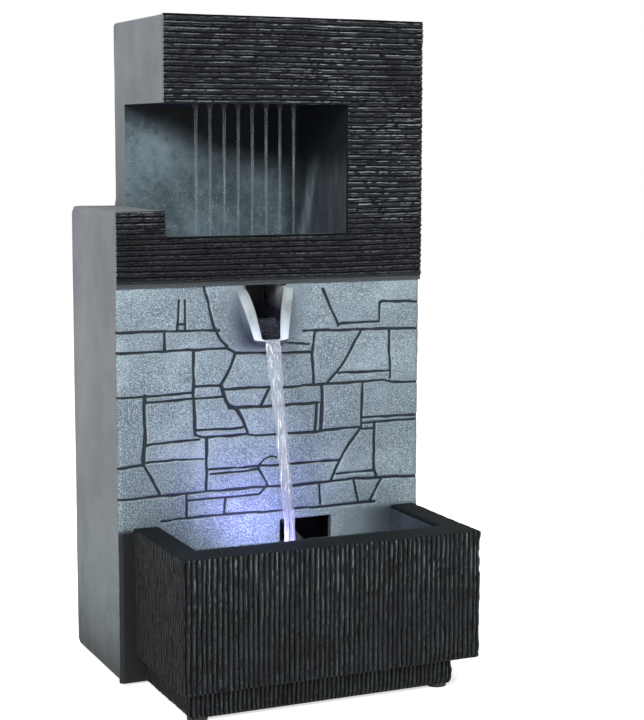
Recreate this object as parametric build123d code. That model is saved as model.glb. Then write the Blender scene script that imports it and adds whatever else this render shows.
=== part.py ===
from build123d import *

import os
from math import cos, radians, sin, tan

# Tabletop water fountain: a cast resin tower with a rain niche and a spout, over a ribbed basin.
#
# Millimetres. +Z is up, the front faces -Y, and the origin is the middle of the footprint on the table.
# Every function returns one sub-part in its place. A small pump behind the wall lifts water from the
# basin through a hose to a tray above the niche. It rains into a trough, leaves by the spout, and falls
# back into the basin, where a lamp lights it from below.

# Castings: overall sizes
OVERALL_HEIGHT = 400.0
TOWER_WIDTH = 200.0
UPPER_WIDTH = 170.0  # the upper block is flush with the tower's right side
TOWER_DEPTH = 98.0
BASIN_REACH = 86.0  # the basin's front stands this far before the tower's ribbed front
RESIN_WALL = 6.0
FOOT_STANDOFF = 1.5  # the castings stand this far off the table on their rubber feet
BACK_CORNER_RADIUS = 7.0
UPPER_CORNER_RADIUS = 2.5

# Front of the tower, heights from the table
BAND_BOTTOM = 240.0
SILL_HEIGHT = 270.0
SHOULDER_HEIGHT = 285.5
NICHE_TOP = 348.5
NICHE_DEPTH = 76.0
NICHE_RIGHT_PIER = 51.0  # width of the ribbed pier right of the niche
STONE_RECESS = 2.5  # the stone face lies behind the ribbed front
SILL_THICKNESS = 8.0
TROUGH_DEPTH = 16.0

# Basin
BASIN_WIDTH = 190.0
BASIN_SHIFT = 3.0  # the basin's middle is right of the tower's
BASIN_RIM = 96.5
BASIN_UNDERSIDE = 18.5
RIM_SIDE_WIDTH = 17.5
RIM_FRONT_WIDTH = 24.5
BOWL_FLOOR = 34.0
BOWL_DRAFT = 3.0  # the bowl's side walls lean in by this much at the floor
PLINTH_LEFT_INSET = 6.0
PLINTH_RIGHT_INSET = 14.0
PLINTH_FRONT_INSET = 8.0

# Return window, from the basin into the pump chamber
WINDOW_LEFT = 4.0
WINDOW_WIDTH = 35.5
WINDOW_SILL = 62.0
WINDOW_HEIGHT = 31.5

# Spout
SPOUT_MIDDLE = -6.0
SPOUT_SKEW = -3.0  # the tip points a little to the left
SPOUT_REACH = 18.0
SPOUT_TOP_WIDTH = 40.0
SPOUT_TIP_WIDTH = 22.0
SPOUT_LIP = 6.0
SPOUT_FOOT_HEIGHT = 203.0
SPOUT_TIP_TOP = 214.0
SPOUT_TIP_BOTTOM = 204.5
SPOUT_BOX_WIDTH = 32.0
SPOUT_BOX_DEPTH = 22.0
SPOUT_BOX_FLOOR = 6.0
SLOT_WIDTH = 18.0
SLOT_DEPTH = 12.0

# Back of the tower
CHAMBER_RIM = 105.0  # the back is closed up to here, because the chamber holds water
PANEL_THICKNESS = 3.0
PANEL_INSET = 9.0
PANEL_RECESS = 1.5
PANEL_CLEARANCE = 0.4
LEDGE_WIDTH = 7.0
LEDGE_DEPTH = 6.0
SCREW_RADIUS = 1.45
SCREW_HOLE_CLEARANCE = 0.1
SCREW_HEAD_RADIUS = 2.8
SCREW_LENGTH = 8.0

# Access door
DOOR_LEFT = -36.0
DOOR_WIDTH = 106.0
DOOR_HEIGHT = 90.0
DOOR_GAP = 0.6
BARREL_RADIUS = 3.5
HINGE_PIN_RADIUS = 1.25
HINGE_PIN_CLEARANCE = 0.05
HINGE_PIN_GRIP = 9.0  # length of each pin in the door, and again in the panel
HINGE_BOSS_HEIGHT = 11.0
LATCH_FROM_EDGE = 9.0
LATCH_SHAFT_RADIUS = 2.5
LATCH_CLEARANCE = 0.05
LATCH_HEAD_RADIUS = 6.5
LATCH_HEAD_SINK = 1.0
LATCH_GRIP_LENGTH = 11.0
LATCH_GRIP_WIDTH = 3.0
CAM_LENGTH = 15.0
CAM_WIDTH = 8.0
CAM_THICKNESS = 2.2
CAM_GAP = 0.5

# Rain tray and its nozzles
STREAM_COUNT = 8
STREAM_PITCH = 9.2
STREAM_OFFSET = 1.0  # right of the niche's middle
STREAM_SETBACK = 25.0  # behind the ribbed front
TRAY_WALL = 2.0
TRAY_MARGIN = 8.0  # from the end nozzle to the tray's end
TRAY_WIDTH = 26.0
TRAY_HEIGHT = 17.5
NOZZLE_BORE = 1.3
NOZZLE_RADIUS = 2.2
NOZZLE_FLANGE_RADIUS = 3.2
NOZZLE_DROP = 2.0
CEILING_HOLE_CLEARANCE = 0.3
BARB_RADIUS = 3.95
BARB_BORE = 2.8
BARB_LENGTH = 13.0

# Hose
HOSE_BORE = 4.0
HOSE_WALL = 1.5
HOSE_BEND = 22.0
CLAMP_WALL = 1.0
CLAMP_WIDTH = 5.0
CLAMP_EAR = 4.0

# Pump
PUMP_WIDTH = 44.0
PUMP_HEIGHT = 40.0
PUMP_LENGTH = 48.0
PUMP_LIFT = 6.0  # on its suction cups
PUMP_EDGE = 3.0
PUMP_SIDE_GAP = 2.0  # from the chamber's right wall
PUMP_FRONT_GAP = 6.5  # from the dial to the chamber's front wall
PUMP_BACK_GAP = 14.5  # to its back wall; both gaps keep their share of the spare depth
VOLUTE_RADIUS = 15.0
VOLUTE_DEPTH = 10.0
WELL_RADIUS = 7.0
WELL_DEPTH = 30.0
COVER_DEPTH = 8.0
SHAFT_RADIUS = 1.0
SHAFT_CLEARANCE = 0.08
BUSH_RADIUS = 3.0
BUSH_LENGTH = 3.0
IMPELLER_RADIUS = 12.0
IMPELLER_DEPTH = 6.5
HUB_RADIUS = 3.6
BLADE_COUNT = 6
BLADE_THICKNESS = 1.4
MAGNET_RADIUS = 6.2
MAGNET_LENGTH = 26.0
ROTOR_END_GAP = 0.8
NECK_RADIUS = 2.4
NOZZLE_FLANGE = 7.0
OUTLET_HOLE_RADIUS = 4.5
OUTLET_SINK = 4.0
DIAL_RADIUS = 11.0
DIAL_THICKNESS = 2.0
DIAL_PIN_RADIUS = 2.0
DIAL_PIN_CLEARANCE = 0.05
INLET_INNER = 4.0
INLET_OUTER = 9.0
INLET_SWEEP = 75.0
CUP_RADIUS = 7.0
CUP_STEM_RADIUS = 2.0
CUP_STEM_DEPTH = 2.0
CUP_INSET = 9.0
CUP_LIP = 1.2

# Lamp in the basin
LAMP_X = -12.0
LAMP_FROM_WALL = 24.0
LAMP_RADIUS = 17.0
LAMP_HEIGHT = 12.0
LAMP_WALL = 2.0
LAMP_CUP_HEIGHT = 3.0
BOARD_THICKNESS = 1.6
BOARD_LIFT = 3.0
CHIP_COUNT = 6
CHIP_SIZE = 3.0
CHIP_HEIGHT = 1.0
CHIP_RING = 8.0
LENS_THICKNESS = 2.5
BEZEL_HEIGHT = 3.0
BEZEL_LAP = 4.0
SEAL_SECTION = 0.8
LENS_CLEARANCE = 0.2

# Leads and the power inlet
LEAD_RADIUS = 1.75
GLAND_RADIUS = 2.6
GLAND_REACH = 3.0
PUMP_GLAND_RADIUS = 3.4
PUMP_GLAND_HEIGHT = 4.0
INLET_X = -70.0
INLET_HEIGHT = 132.0
INLET_RADIUS = 5.5
INLET_BODY_LENGTH = 14.0
INLET_FLANGE_RADIUS = 7.0
INLET_SOCKET_RADIUS = 3.0
INLET_SOCKET_DEPTH = 9.5
INLET_PIN_RADIUS = 1.0
INLET_LEAD_OFFSET = 2.6
NUT_RADIUS = 8.0
NUT_THICKNESS = 2.5
CLIP_X = -26.0
CLIP_WIDTH = 5.0
CLIP_MARGIN = 3.0
CLIP_CLEARANCE = 0.1
PUMP_LEAD_Z = 106.0  # the leads run along the chamber's front wall at these heights
LAMP_LEAD_Z = 100.0
LEAD_OFF_WALL = 4.5

# Rubber feet
FOOT_RADIUS = 6.0
FOOT_THICKNESS = 3.0
FOOT_INSET = 8.0

# Places that follow from the sizes above
OVERALL_DEPTH = TOWER_DEPTH + BASIN_REACH
FRONT_Y = BASIN_REACH - OVERALL_DEPTH / 2
BACK_Y = FRONT_Y + TOWER_DEPTH
BASIN_FRONT_Y = FRONT_Y - BASIN_REACH
STONE_Y = FRONT_Y + STONE_RECESS
INNER_FRONT_Y = STONE_Y + RESIN_WALL
RIGHT_X = TOWER_WIDTH / 2
LEFT_X = -TOWER_WIDTH / 2
UPPER_LEFT_X = RIGHT_X - UPPER_WIDTH
NICHE_RIGHT_X = RIGHT_X - NICHE_RIGHT_PIER
NICHE_BACK_Y = FRONT_Y + NICHE_DEPTH
TROUGH_FLOOR = SILL_HEIGHT - TROUGH_DEPTH
TROUGH_UNDERSIDE = TROUGH_FLOOR - RESIN_WALL
CEILING_TOP = NICHE_TOP + RESIN_WALL
CHAMBER_FLOOR = FOOT_STANDOFF + RESIN_WALL
PANEL_OUTER_Y = BACK_Y - PANEL_RECESS
PANEL_INNER_Y = PANEL_OUTER_Y - PANEL_THICKNESS
LEDGE_Y = PANEL_INNER_Y - LEDGE_DEPTH
BASIN_LEFT_X = BASIN_SHIFT - BASIN_WIDTH / 2
BASIN_RIGHT_X = BASIN_SHIFT + BASIN_WIDTH / 2
PLINTH_FRONT_Y = BASIN_FRONT_Y + PLINTH_FRONT_INSET
STREAM_MIDDLE = (UPPER_LEFT_X + NICHE_RIGHT_X) / 2 + STREAM_OFFSET
STREAM_Y = FRONT_Y + STREAM_SETBACK
RISER_X = RIGHT_X - RESIN_WALL - PUMP_WIDTH / 2 - PUMP_SIDE_GAP
PUMP_SPARE = LEDGE_Y - INNER_FRONT_Y - PUMP_LENGTH - COVER_DEPTH - DIAL_THICKNESS
PUMP_AHEAD = PUMP_SPARE * PUMP_FRONT_GAP / (PUMP_FRONT_GAP + PUMP_BACK_GAP)
COVER_FRONT_Y = INNER_FRONT_Y + PUMP_AHEAD + DIAL_THICKNESS
PUMP_FRONT_Y = COVER_FRONT_Y + COVER_DEPTH
RISER_Y = PUMP_FRONT_Y + VOLUTE_DEPTH / 2
TRAY_LENGTH = (STREAM_COUNT - 1) * STREAM_PITCH + 2 * TRAY_MARGIN
TRAY_RIGHT_X = STREAM_MIDDLE + TRAY_LENGTH / 2
TRAY_MIDDLE_Y = STREAM_Y
TRAY_INLET_Z = CEILING_TOP + TRAY_HEIGHT / 2
PUMP_BOTTOM = CHAMBER_FLOOR + PUMP_LIFT
PUMP_TOP = PUMP_BOTTOM + PUMP_HEIGHT
PUMP_BACK_Y = PUMP_FRONT_Y + PUMP_LENGTH
PUMP_AXIS_Z = PUMP_BOTTOM + PUMP_HEIGHT / 2
WELL_END_Y = PUMP_FRONT_Y + VOLUTE_DEPTH + WELL_DEPTH
LAMP_Y = STONE_Y - LAMP_FROM_WALL
LAMP_BOTTOM = BOWL_FLOOR + LAMP_CUP_HEIGHT
LAMP_TOP = LAMP_BOTTOM + LAMP_HEIGHT
DOOR_BOTTOM = CHAMBER_RIM + LEDGE_WIDTH + HINGE_BOSS_HEIGHT + 2 * DOOR_GAP
HINGE_X = DOOR_LEFT + BARREL_RADIUS + DOOR_GAP
HINGE_Y = PANEL_OUTER_Y - BARREL_RADIUS
DOOR_RIGHT = DOOR_LEFT + DOOR_WIDTH
DOOR_TOP = DOOR_BOTTOM + DOOR_HEIGHT
LATCH_X = DOOR_RIGHT - LATCH_FROM_EDGE
LATCH_Z = DOOR_BOTTOM + DOOR_HEIGHT / 2
INLET_TAIL_Y = PANEL_INNER_Y - INLET_BODY_LENGTH
LAMP_GLAND_Z = LAMP_BOTTOM + LAMP_WALL + GLAND_RADIUS + 0.4
LAMP_GLAND_END_X = LAMP_X + LAMP_RADIUS + GLAND_REACH
PUMP_GLAND_X = RISER_X - 12.0
PUMP_GLAND_Y = PUMP_BACK_Y - 10.0
LEAD_WALL_Y = INNER_FRONT_Y + LEAD_OFF_WALL


def block(x0, x1, y0, y1, z0, z1):
    """A box from its low and high coordinates."""
    size = Box(x1 - x0, y1 - y0, z1 - z0)
    return Pos((x0 + x1) / 2, (y0 + y1) / 2, (z0 + z1) / 2) * size


def rod_z(x, y, z0, z1, radius):
    """A cylinder along Z."""
    return Pos(x, y, (z0 + z1) / 2) * Cylinder(radius, z1 - z0)


def rod_y(x, z, y0, y1, radius):
    """A cylinder along Y."""
    return Pos(x, (y0 + y1) / 2, z) * Rot(90, 0, 0) * Cylinder(radius, y1 - y0)


def rod_x(y, z, x0, x1, radius):
    """A cylinder along X."""
    return Pos((x0 + x1) / 2, y, z) * Rot(0, 90, 0) * Cylinder(radius, x1 - x0)


def group(solids):
    """Separate solids that make one node."""
    return Compound(children=list(solids))


def stream_places():
    """The X of each rain nozzle."""
    first = STREAM_MIDDLE - (STREAM_COUNT - 1) * STREAM_PITCH / 2
    return [first + i * STREAM_PITCH for i in range(STREAM_COUNT)]


def stepped_prism(inset, y0, y1, bottom):
    """The tower's stepped outline, taken in by inset, as a prism along Y."""
    lower = block(LEFT_X + inset, RIGHT_X - inset, y0, y1, bottom, SHOULDER_HEIGHT - inset)
    upper = block(UPPER_LEFT_X + inset, RIGHT_X - inset, y0, y1, bottom, OVERALL_HEIGHT - inset)
    return lower + upper


def tower_mass():
    """The tower's outer form before it is hollowed: a lower block with a narrower one above."""
    lower = block(LEFT_X, RIGHT_X, FRONT_Y, BACK_Y, FOOT_STANDOFF, SHOULDER_HEIGHT)
    left_back = lower.edges().filter_by(Axis.Z).group_by(Axis.Y)[-1].sort_by(Axis.X)[0]
    lower = fillet(left_back, BACK_CORNER_RADIUS)
    right_back = lower.edges().filter_by(Axis.Z).group_by(Axis.Y)[-1].sort_by(Axis.X)[-1]
    lower = fillet(right_back, UPPER_CORNER_RADIUS)
    upper = block(UPPER_LEFT_X, RIGHT_X, FRONT_Y, BACK_Y, BAND_BOTTOM, OVERALL_HEIGHT)
    upper = fillet(upper.edges().filter_by(Axis.Z).group_by(Axis.Y)[-1], UPPER_CORNER_RADIUS)
    return lower + upper


def niche_space():
    """The niche, open at the front and at the upper block's left side, and the trough in its floor."""
    air = block(UPPER_LEFT_X, NICHE_RIGHT_X, FRONT_Y, NICHE_BACK_Y, SILL_HEIGHT, NICHE_TOP)
    trough_front = FRONT_Y + SILL_THICKNESS
    trough = block(
        UPPER_LEFT_X, NICHE_RIGHT_X, trough_front, NICHE_BACK_Y, TROUGH_FLOOR, SILL_HEIGHT
    )
    return air + trough


def tower_hollow():
    """Everything hollow behind the front: pump chamber, riser shaft and the space over the niche."""
    reserve = block(
        UPPER_LEFT_X - RESIN_WALL,
        NICHE_RIGHT_X + RESIN_WALL,
        FRONT_Y,
        NICHE_BACK_Y + RESIN_WALL,
        TROUGH_UNDERSIDE,
        CEILING_TOP,
    )
    core = stepped_prism(RESIN_WALL, FRONT_Y + RESIN_WALL, LEDGE_Y, BAND_BOTTOM) - reserve
    below = block(
        LEFT_X + RESIN_WALL,
        RIGHT_X - RESIN_WALL,
        INNER_FRONT_Y,
        LEDGE_Y,
        CHAMBER_FLOOR,
        BAND_BOTTOM,
    )
    return core + below


def back_opening():
    """The opening in the back, with the ledge that the panel seats on."""
    through = stepped_prism(
        PANEL_INSET + LEDGE_WIDTH, LEDGE_Y, PANEL_INNER_Y, CHAMBER_RIM + LEDGE_WIDTH
    )
    seat = stepped_prism(PANEL_INSET, PANEL_INNER_Y, BACK_Y, CHAMBER_RIM)
    return through + seat


def panel_screw_places():
    """(x, z) of the screws that hold the back panel, along the middle of the ledge."""
    inset = PANEL_INSET + LEDGE_WIDTH / 2
    left, right = LEFT_X + inset, RIGHT_X - inset
    upper_left = UPPER_LEFT_X + inset
    bottom = CHAMBER_RIM + LEDGE_WIDTH / 2
    shoulder = SHOULDER_HEIGHT - inset
    top = OVERALL_HEIGHT - inset
    middle = (bottom + shoulder) / 2
    return [
        (left, bottom),
        (0.0, bottom),
        (right, bottom),
        (left, shoulder),
        (right, shoulder),
        (left, middle),
        (upper_left, top),
        (right, top),
        ((upper_left + right) / 2, top),
    ]


def foot_places():
    """(x, y) of the rubber feet under the tower and the plinth."""
    side = RIGHT_X - RESIN_WALL - FOOT_RADIUS
    back = BACK_Y - RESIN_WALL - FOOT_RADIUS
    plinth_y = PLINTH_FRONT_Y + FOOT_INSET
    plinth_left = BASIN_LEFT_X + PLINTH_LEFT_INSET + FOOT_INSET
    plinth_right = BASIN_RIGHT_X - PLINTH_RIGHT_INSET - FOOT_INSET
    return [
        (-side, back),
        (side, back),
        (-side, FRONT_Y + TOWER_DEPTH / 3),
        (side, FRONT_Y + TOWER_DEPTH / 3),
        (plinth_left, plinth_y),
        (plinth_right, plinth_y),
    ]


def foot_recesses():
    """The shallow recesses that the feet are bonded into."""
    depth = FOOT_THICKNESS - FOOT_STANDOFF
    return [rod_z(x, y, FOOT_STANDOFF, FOOT_STANDOFF + depth, FOOT_RADIUS) for x, y in foot_places()]


def tower_casting():
    """The hollow resin tower: ribbed head, niche and trough, stone wall, pump chamber."""
    tower = tower_mass() - niche_space() - tower_hollow() - back_opening()
    tower -= block(LEFT_X, RIGHT_X, FRONT_Y, STONE_Y, FOOT_STANDOFF, BAND_BOTTOM)
    window_right = WINDOW_LEFT + WINDOW_WIDTH
    window_top = WINDOW_SILL + WINDOW_HEIGHT
    tower -= block(WINDOW_LEFT, window_right, STONE_Y, INNER_FRONT_Y, WINDOW_SILL, window_top)
    tower -= spout_solid()
    tower -= block(
        SPOUT_MIDDLE - SLOT_WIDTH / 2,
        SPOUT_MIDDLE + SLOT_WIDTH / 2,
        INNER_FRONT_Y + RESIN_WALL,
        INNER_FRONT_Y + RESIN_WALL + SLOT_DEPTH,
        TROUGH_UNDERSIDE,
        TROUGH_FLOOR,
    )
    hole = NOZZLE_RADIUS + CEILING_HOLE_CLEARANCE
    for x in stream_places():
        tower -= rod_z(x, STREAM_Y, NICHE_TOP, CEILING_TOP, hole)
    for x, z in panel_screw_places():
        tower -= rod_y(x, z, LEDGE_Y, PANEL_INNER_Y, SCREW_RADIUS + SCREW_HOLE_CLEARANCE)
    for recess in foot_recesses():
        tower -= recess
    return tower


def basin_casting():
    """The ribbed basin and its plinth, bonded to the foot of the stone wall."""
    body = block(
        BASIN_LEFT_X, BASIN_RIGHT_X, BASIN_FRONT_Y, STONE_Y, BASIN_UNDERSIDE, BASIN_RIM
    )
    plinth_left = BASIN_LEFT_X + PLINTH_LEFT_INSET
    plinth_right = BASIN_RIGHT_X - PLINTH_RIGHT_INSET
    body += block(
        plinth_left, plinth_right, PLINTH_FRONT_Y, STONE_Y, FOOT_STANDOFF, BASIN_UNDERSIDE
    )
    bowl_left = BASIN_LEFT_X + RIM_SIDE_WIDTH
    bowl_right = BASIN_RIGHT_X - RIM_SIDE_WIDTH
    bowl_front = BASIN_FRONT_Y + RIM_FRONT_WIDTH
    profile = Polyline(
        (bowl_left, BASIN_RIM),
        (bowl_right, BASIN_RIM),
        (bowl_right - BOWL_DRAFT, BOWL_FLOOR),
        (bowl_left + BOWL_DRAFT, BOWL_FLOOR),
        close=True,
    )
    front_plane = Plane(origin=(0, bowl_front, 0), x_dir=(1, 0, 0), z_dir=(0, -1, 0))
    bowl = extrude(front_plane * make_face(profile), amount=-(STONE_Y - bowl_front))
    body -= bowl
    for recess in foot_recesses():
        body -= recess
    return body


def trapezoid(y, middle, top, top_width, bottom, bottom_width):
    """A trapezoid face across the spout at a depth y."""
    outline = Polyline(
        (middle - top_width / 2, top),
        (middle + top_width / 2, top),
        (middle + bottom_width / 2, bottom),
        (middle - bottom_width / 2, bottom),
        close=True,
    )
    return Plane(origin=(0, y, 0), x_dir=(1, 0, 0), z_dir=(0, -1, 0)) * make_face(outline)


def spout_solid():
    """The spout's outer form: a chute that tapers to its tip, and the box behind the wall."""
    root = trapezoid(
        STONE_Y,
        SPOUT_MIDDLE,
        BAND_BOTTOM,
        SPOUT_TOP_WIDTH,
        SPOUT_FOOT_HEIGHT,
        SPOUT_TIP_WIDTH,
    )
    tip = trapezoid(
        STONE_Y - SPOUT_REACH,
        SPOUT_MIDDLE + SPOUT_SKEW,
        SPOUT_TIP_TOP,
        SPOUT_TIP_WIDTH,
        SPOUT_TIP_BOTTOM,
        SPOUT_TIP_WIDTH - SPOUT_LIP,
    )
    chute = loft([root, tip], ruled=True)
    left, right = SPOUT_MIDDLE - SPOUT_BOX_WIDTH / 2, SPOUT_MIDDLE + SPOUT_BOX_WIDTH / 2
    back = INNER_FRONT_Y + SPOUT_BOX_DEPTH
    neck = block(left, right, STONE_Y, INNER_FRONT_Y, SPOUT_TIP_TOP, BAND_BOTTOM)
    box = block(left, right, INNER_FRONT_Y, back, SPOUT_TIP_TOP, TROUGH_UNDERSIDE)
    return chute + neck + box


def spout():
    """The spout, with its channel from under the trough's slot to the tip."""
    floor = SPOUT_TIP_TOP + SPOUT_BOX_FLOOR
    inner = SPOUT_TOP_WIDTH - 2 * SPOUT_LIP
    tip_inner = SPOUT_TIP_WIDTH - 2 * SPOUT_LIP
    narrow = SPOUT_BOX_WIDTH - 2 * RESIN_WALL
    over = 1.0
    mouth = trapezoid(STONE_Y, SPOUT_MIDDLE, BAND_BOTTOM, inner, floor, tip_inner)
    lip = trapezoid(
        STONE_Y - SPOUT_REACH,
        SPOUT_MIDDLE + SPOUT_SKEW,
        SPOUT_TIP_TOP + over,
        tip_inner + over,
        SPOUT_TIP_BOTTOM + SPOUT_LIP / 2,
        tip_inner - over,
    )
    channel = loft([mouth, lip], ruled=True)
    left, right = SPOUT_MIDDLE - narrow / 2, SPOUT_MIDDLE + narrow / 2
    back = INNER_FRONT_Y + SPOUT_BOX_DEPTH - RESIN_WALL / 2
    passage = block(left, right, STONE_Y, back, floor, BAND_BOTTOM - RESIN_WALL / 2)
    well = block(left, right, INNER_FRONT_Y + RESIN_WALL / 2, back, floor, TROUGH_UNDERSIDE)
    return spout_solid() - channel - passage - well


def door_cutout():
    """The opening in the back panel that the door fills."""
    return block(
        DOOR_LEFT - DOOR_GAP,
        DOOR_RIGHT + DOOR_GAP,
        LEDGE_Y,
        BACK_Y,
        DOOR_BOTTOM - DOOR_GAP,
        DOOR_TOP + DOOR_GAP,
    )


def back_panel():
    """The plastic back panel, with the door's opening, hinge bosses, and holes for screws and inlet."""
    inset = PANEL_INSET + PANEL_CLEARANCE
    panel = stepped_prism(inset, PANEL_INNER_Y, PANEL_OUTER_Y, CHAMBER_RIM + PANEL_CLEARANCE)
    panel -= door_cutout()
    boss = BARREL_RADIUS + DOOR_GAP
    for z0, z1 in (
        (DOOR_BOTTOM - DOOR_GAP - HINGE_BOSS_HEIGHT, DOOR_BOTTOM - DOOR_GAP),
        (DOOR_TOP + DOOR_GAP, DOOR_TOP + DOOR_GAP + HINGE_BOSS_HEIGHT),
    ):
        y0 = HINGE_Y - BARREL_RADIUS
        panel += block(HINGE_X - boss, HINGE_X + boss, y0, PANEL_OUTER_Y, z0, z1)
        panel -= rod_z(HINGE_X, HINGE_Y, z0, z1, HINGE_PIN_RADIUS)
    for x, z in panel_screw_places():
        hole = SCREW_RADIUS + 2 * SCREW_HOLE_CLEARANCE
        panel -= rod_y(x, z, PANEL_INNER_Y, PANEL_OUTER_Y, hole)
    panel -= rod_y(INLET_X, INLET_HEIGHT, PANEL_INNER_Y, PANEL_OUTER_Y, INLET_RADIUS)
    return panel


def back_panel_screws():
    """Pan-head screws that hold the back panel."""
    screws = []
    for x, z in panel_screw_places():
        head = rod_y(x, z, PANEL_OUTER_Y, PANEL_OUTER_Y + PANEL_RECESS, SCREW_HEAD_RADIUS)
        shank = rod_y(x, z, PANEL_OUTER_Y - SCREW_LENGTH, PANEL_OUTER_Y, SCREW_RADIUS)
        slot = block(
            x - SCREW_HEAD_RADIUS,
            x + SCREW_HEAD_RADIUS,
            PANEL_OUTER_Y + PANEL_RECESS / 2,
            PANEL_OUTER_Y + PANEL_RECESS,
            z - SCREW_HEAD_RADIUS / 7,
            z + SCREW_HEAD_RADIUS / 7,
        )
        screws.append(head + shank - slot)
    return group(screws)


def access_door():
    """The door over the pump chamber: a plate on a hinge barrel, with a hole for the latch."""
    plate = block(HINGE_X, DOOR_RIGHT, PANEL_INNER_Y, PANEL_OUTER_Y, DOOR_BOTTOM, DOOR_TOP)
    door = plate + rod_z(HINGE_X, HINGE_Y, DOOR_BOTTOM, DOOR_TOP, BARREL_RADIUS)
    door -= rod_y(LATCH_X, LATCH_Z, PANEL_INNER_Y, PANEL_OUTER_Y, LATCH_SHAFT_RADIUS + LATCH_CLEARANCE)
    sink = LATCH_HEAD_RADIUS + DOOR_GAP
    door -= rod_y(LATCH_X, LATCH_Z, PANEL_OUTER_Y - LATCH_HEAD_SINK, PANEL_OUTER_Y, sink)
    hole = HINGE_PIN_RADIUS + HINGE_PIN_CLEARANCE
    grip = HINGE_PIN_GRIP + DOOR_GAP
    door -= rod_z(HINGE_X, HINGE_Y, DOOR_BOTTOM, DOOR_BOTTOM + grip, hole)
    door -= rod_z(HINGE_X, HINGE_Y, DOOR_TOP - grip, DOOR_TOP, hole)
    return door


def door_hinge_pins():
    """Two short pins, fixed in the panel's bosses, that the door turns on."""
    reach = HINGE_PIN_GRIP + DOOR_GAP
    low = rod_z(HINGE_X, HINGE_Y, DOOR_BOTTOM - reach, DOOR_BOTTOM + HINGE_PIN_GRIP, HINGE_PIN_RADIUS)
    high = rod_z(HINGE_X, HINGE_Y, DOOR_TOP - HINGE_PIN_GRIP, DOOR_TOP + reach, HINGE_PIN_RADIUS)
    return group([low, high])


def door_latch():
    """The quarter-turn knob: a round head with a finger bar, on a shaft through the door."""
    face = PANEL_OUTER_Y - LATCH_HEAD_SINK
    head = rod_y(LATCH_X, LATCH_Z, face, PANEL_OUTER_Y, LATCH_HEAD_RADIUS)
    grip = block(
        LATCH_X - LATCH_GRIP_WIDTH / 2,
        LATCH_X + LATCH_GRIP_WIDTH / 2,
        PANEL_OUTER_Y,
        PANEL_OUTER_Y + PANEL_RECESS,
        LATCH_Z - LATCH_GRIP_LENGTH / 2,
        LATCH_Z + LATCH_GRIP_LENGTH / 2,
    )
    shaft_end = PANEL_INNER_Y - CAM_GAP - CAM_THICKNESS
    shaft = rod_y(LATCH_X, LATCH_Z, shaft_end, face, LATCH_SHAFT_RADIUS)
    return head + grip + shaft


def latch_cam():
    """The cam on the latch's shaft. It stands upright when open, and a quarter turn puts it
    behind the panel's edge."""
    y1 = PANEL_INNER_Y - CAM_GAP
    y0 = y1 - CAM_THICKNESS
    half = CAM_WIDTH / 2
    bar = block(LATCH_X - half, LATCH_X + half, y0, y1, LATCH_Z, LATCH_Z + CAM_LENGTH)
    bar += rod_y(LATCH_X, LATCH_Z, y0, y1, half)
    return bar - rod_y(LATCH_X, LATCH_Z, y0, y1, LATCH_SHAFT_RADIUS)


def rain_tray():
    """The open tray above the niche's ceiling that feeds the rain nozzles, with a hose barb."""
    x0, x1 = TRAY_RIGHT_X - TRAY_LENGTH, TRAY_RIGHT_X
    y0, y1 = TRAY_MIDDLE_Y - TRAY_WIDTH / 2, TRAY_MIDDLE_Y + TRAY_WIDTH / 2
    z0, z1 = CEILING_TOP, CEILING_TOP + TRAY_HEIGHT
    tray = block(x0, x1, y0, y1, z0, z1)
    tray -= block(
        x0 + TRAY_WALL, x1 - TRAY_WALL, y0 + TRAY_WALL, y1 - TRAY_WALL, z0 + TRAY_WALL, z1
    )
    tray += rod_x(RISER_Y, TRAY_INLET_Z, x1, x1 + BARB_LENGTH, BARB_RADIUS)
    tray -= rod_x(RISER_Y, TRAY_INLET_Z, x1 - TRAY_WALL, x1 + BARB_LENGTH, BARB_BORE)
    for x in stream_places():
        tray -= rod_z(x, STREAM_Y, z0, z0 + TRAY_WALL, NOZZLE_RADIUS)
    return tray


def rain_tray_lid():
    """The lid that closes the tray, with a lip inside its walls."""
    x0, x1 = TRAY_RIGHT_X - TRAY_LENGTH, TRAY_RIGHT_X
    y0, y1 = TRAY_MIDDLE_Y - TRAY_WIDTH / 2, TRAY_MIDDLE_Y + TRAY_WIDTH / 2
    top = CEILING_TOP + TRAY_HEIGHT
    lid = block(x0, x1, y0, y1, top, top + TRAY_WALL)
    gap = TRAY_WALL + PANEL_CLEARANCE / 2
    lip = block(x0 + gap, x1 - gap, y0 + gap, y1 - gap, top - TRAY_WALL, top)
    inner = gap + TRAY_WALL
    lip -= block(x0 + inner, x1 - inner, y0 + inner, y1 - inner, top - TRAY_WALL, top)
    return lid + lip


def rain_nozzles():
    """The short tubes that hang through the ceiling and part the water into streams."""
    top = CEILING_TOP + TRAY_WALL
    nozzles = []
    for x in stream_places():
        tube = rod_z(x, STREAM_Y, NICHE_TOP - NOZZLE_DROP, top, NOZZLE_RADIUS)
        flange = rod_z(x, STREAM_Y, top, top + 1.0, NOZZLE_FLANGE_RADIUS)
        bore = rod_z(x, STREAM_Y, NICHE_TOP - NOZZLE_DROP, top + 1.0, NOZZLE_BORE)
        nozzles.append(tube + flange - bore)
    return group(nozzles)


def riser_hose():
    """The soft hose from the pump up the shaft beside the niche and over to the tray."""
    start = (RISER_X, RISER_Y, PUMP_TOP + 2.0)
    corner = (RISER_X, RISER_Y, TRAY_INLET_Z)
    end = (TRAY_RIGHT_X + 1.0, RISER_Y, TRAY_INLET_Z)
    path = FilletPolyline(start, corner, end, radius=HOSE_BEND)
    section = Plane(origin=start, z_dir=(0, 0, 1)) * (
        Circle(HOSE_BORE + HOSE_WALL) - Circle(HOSE_BORE)
    )
    return sweep(section, path=path)


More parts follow.
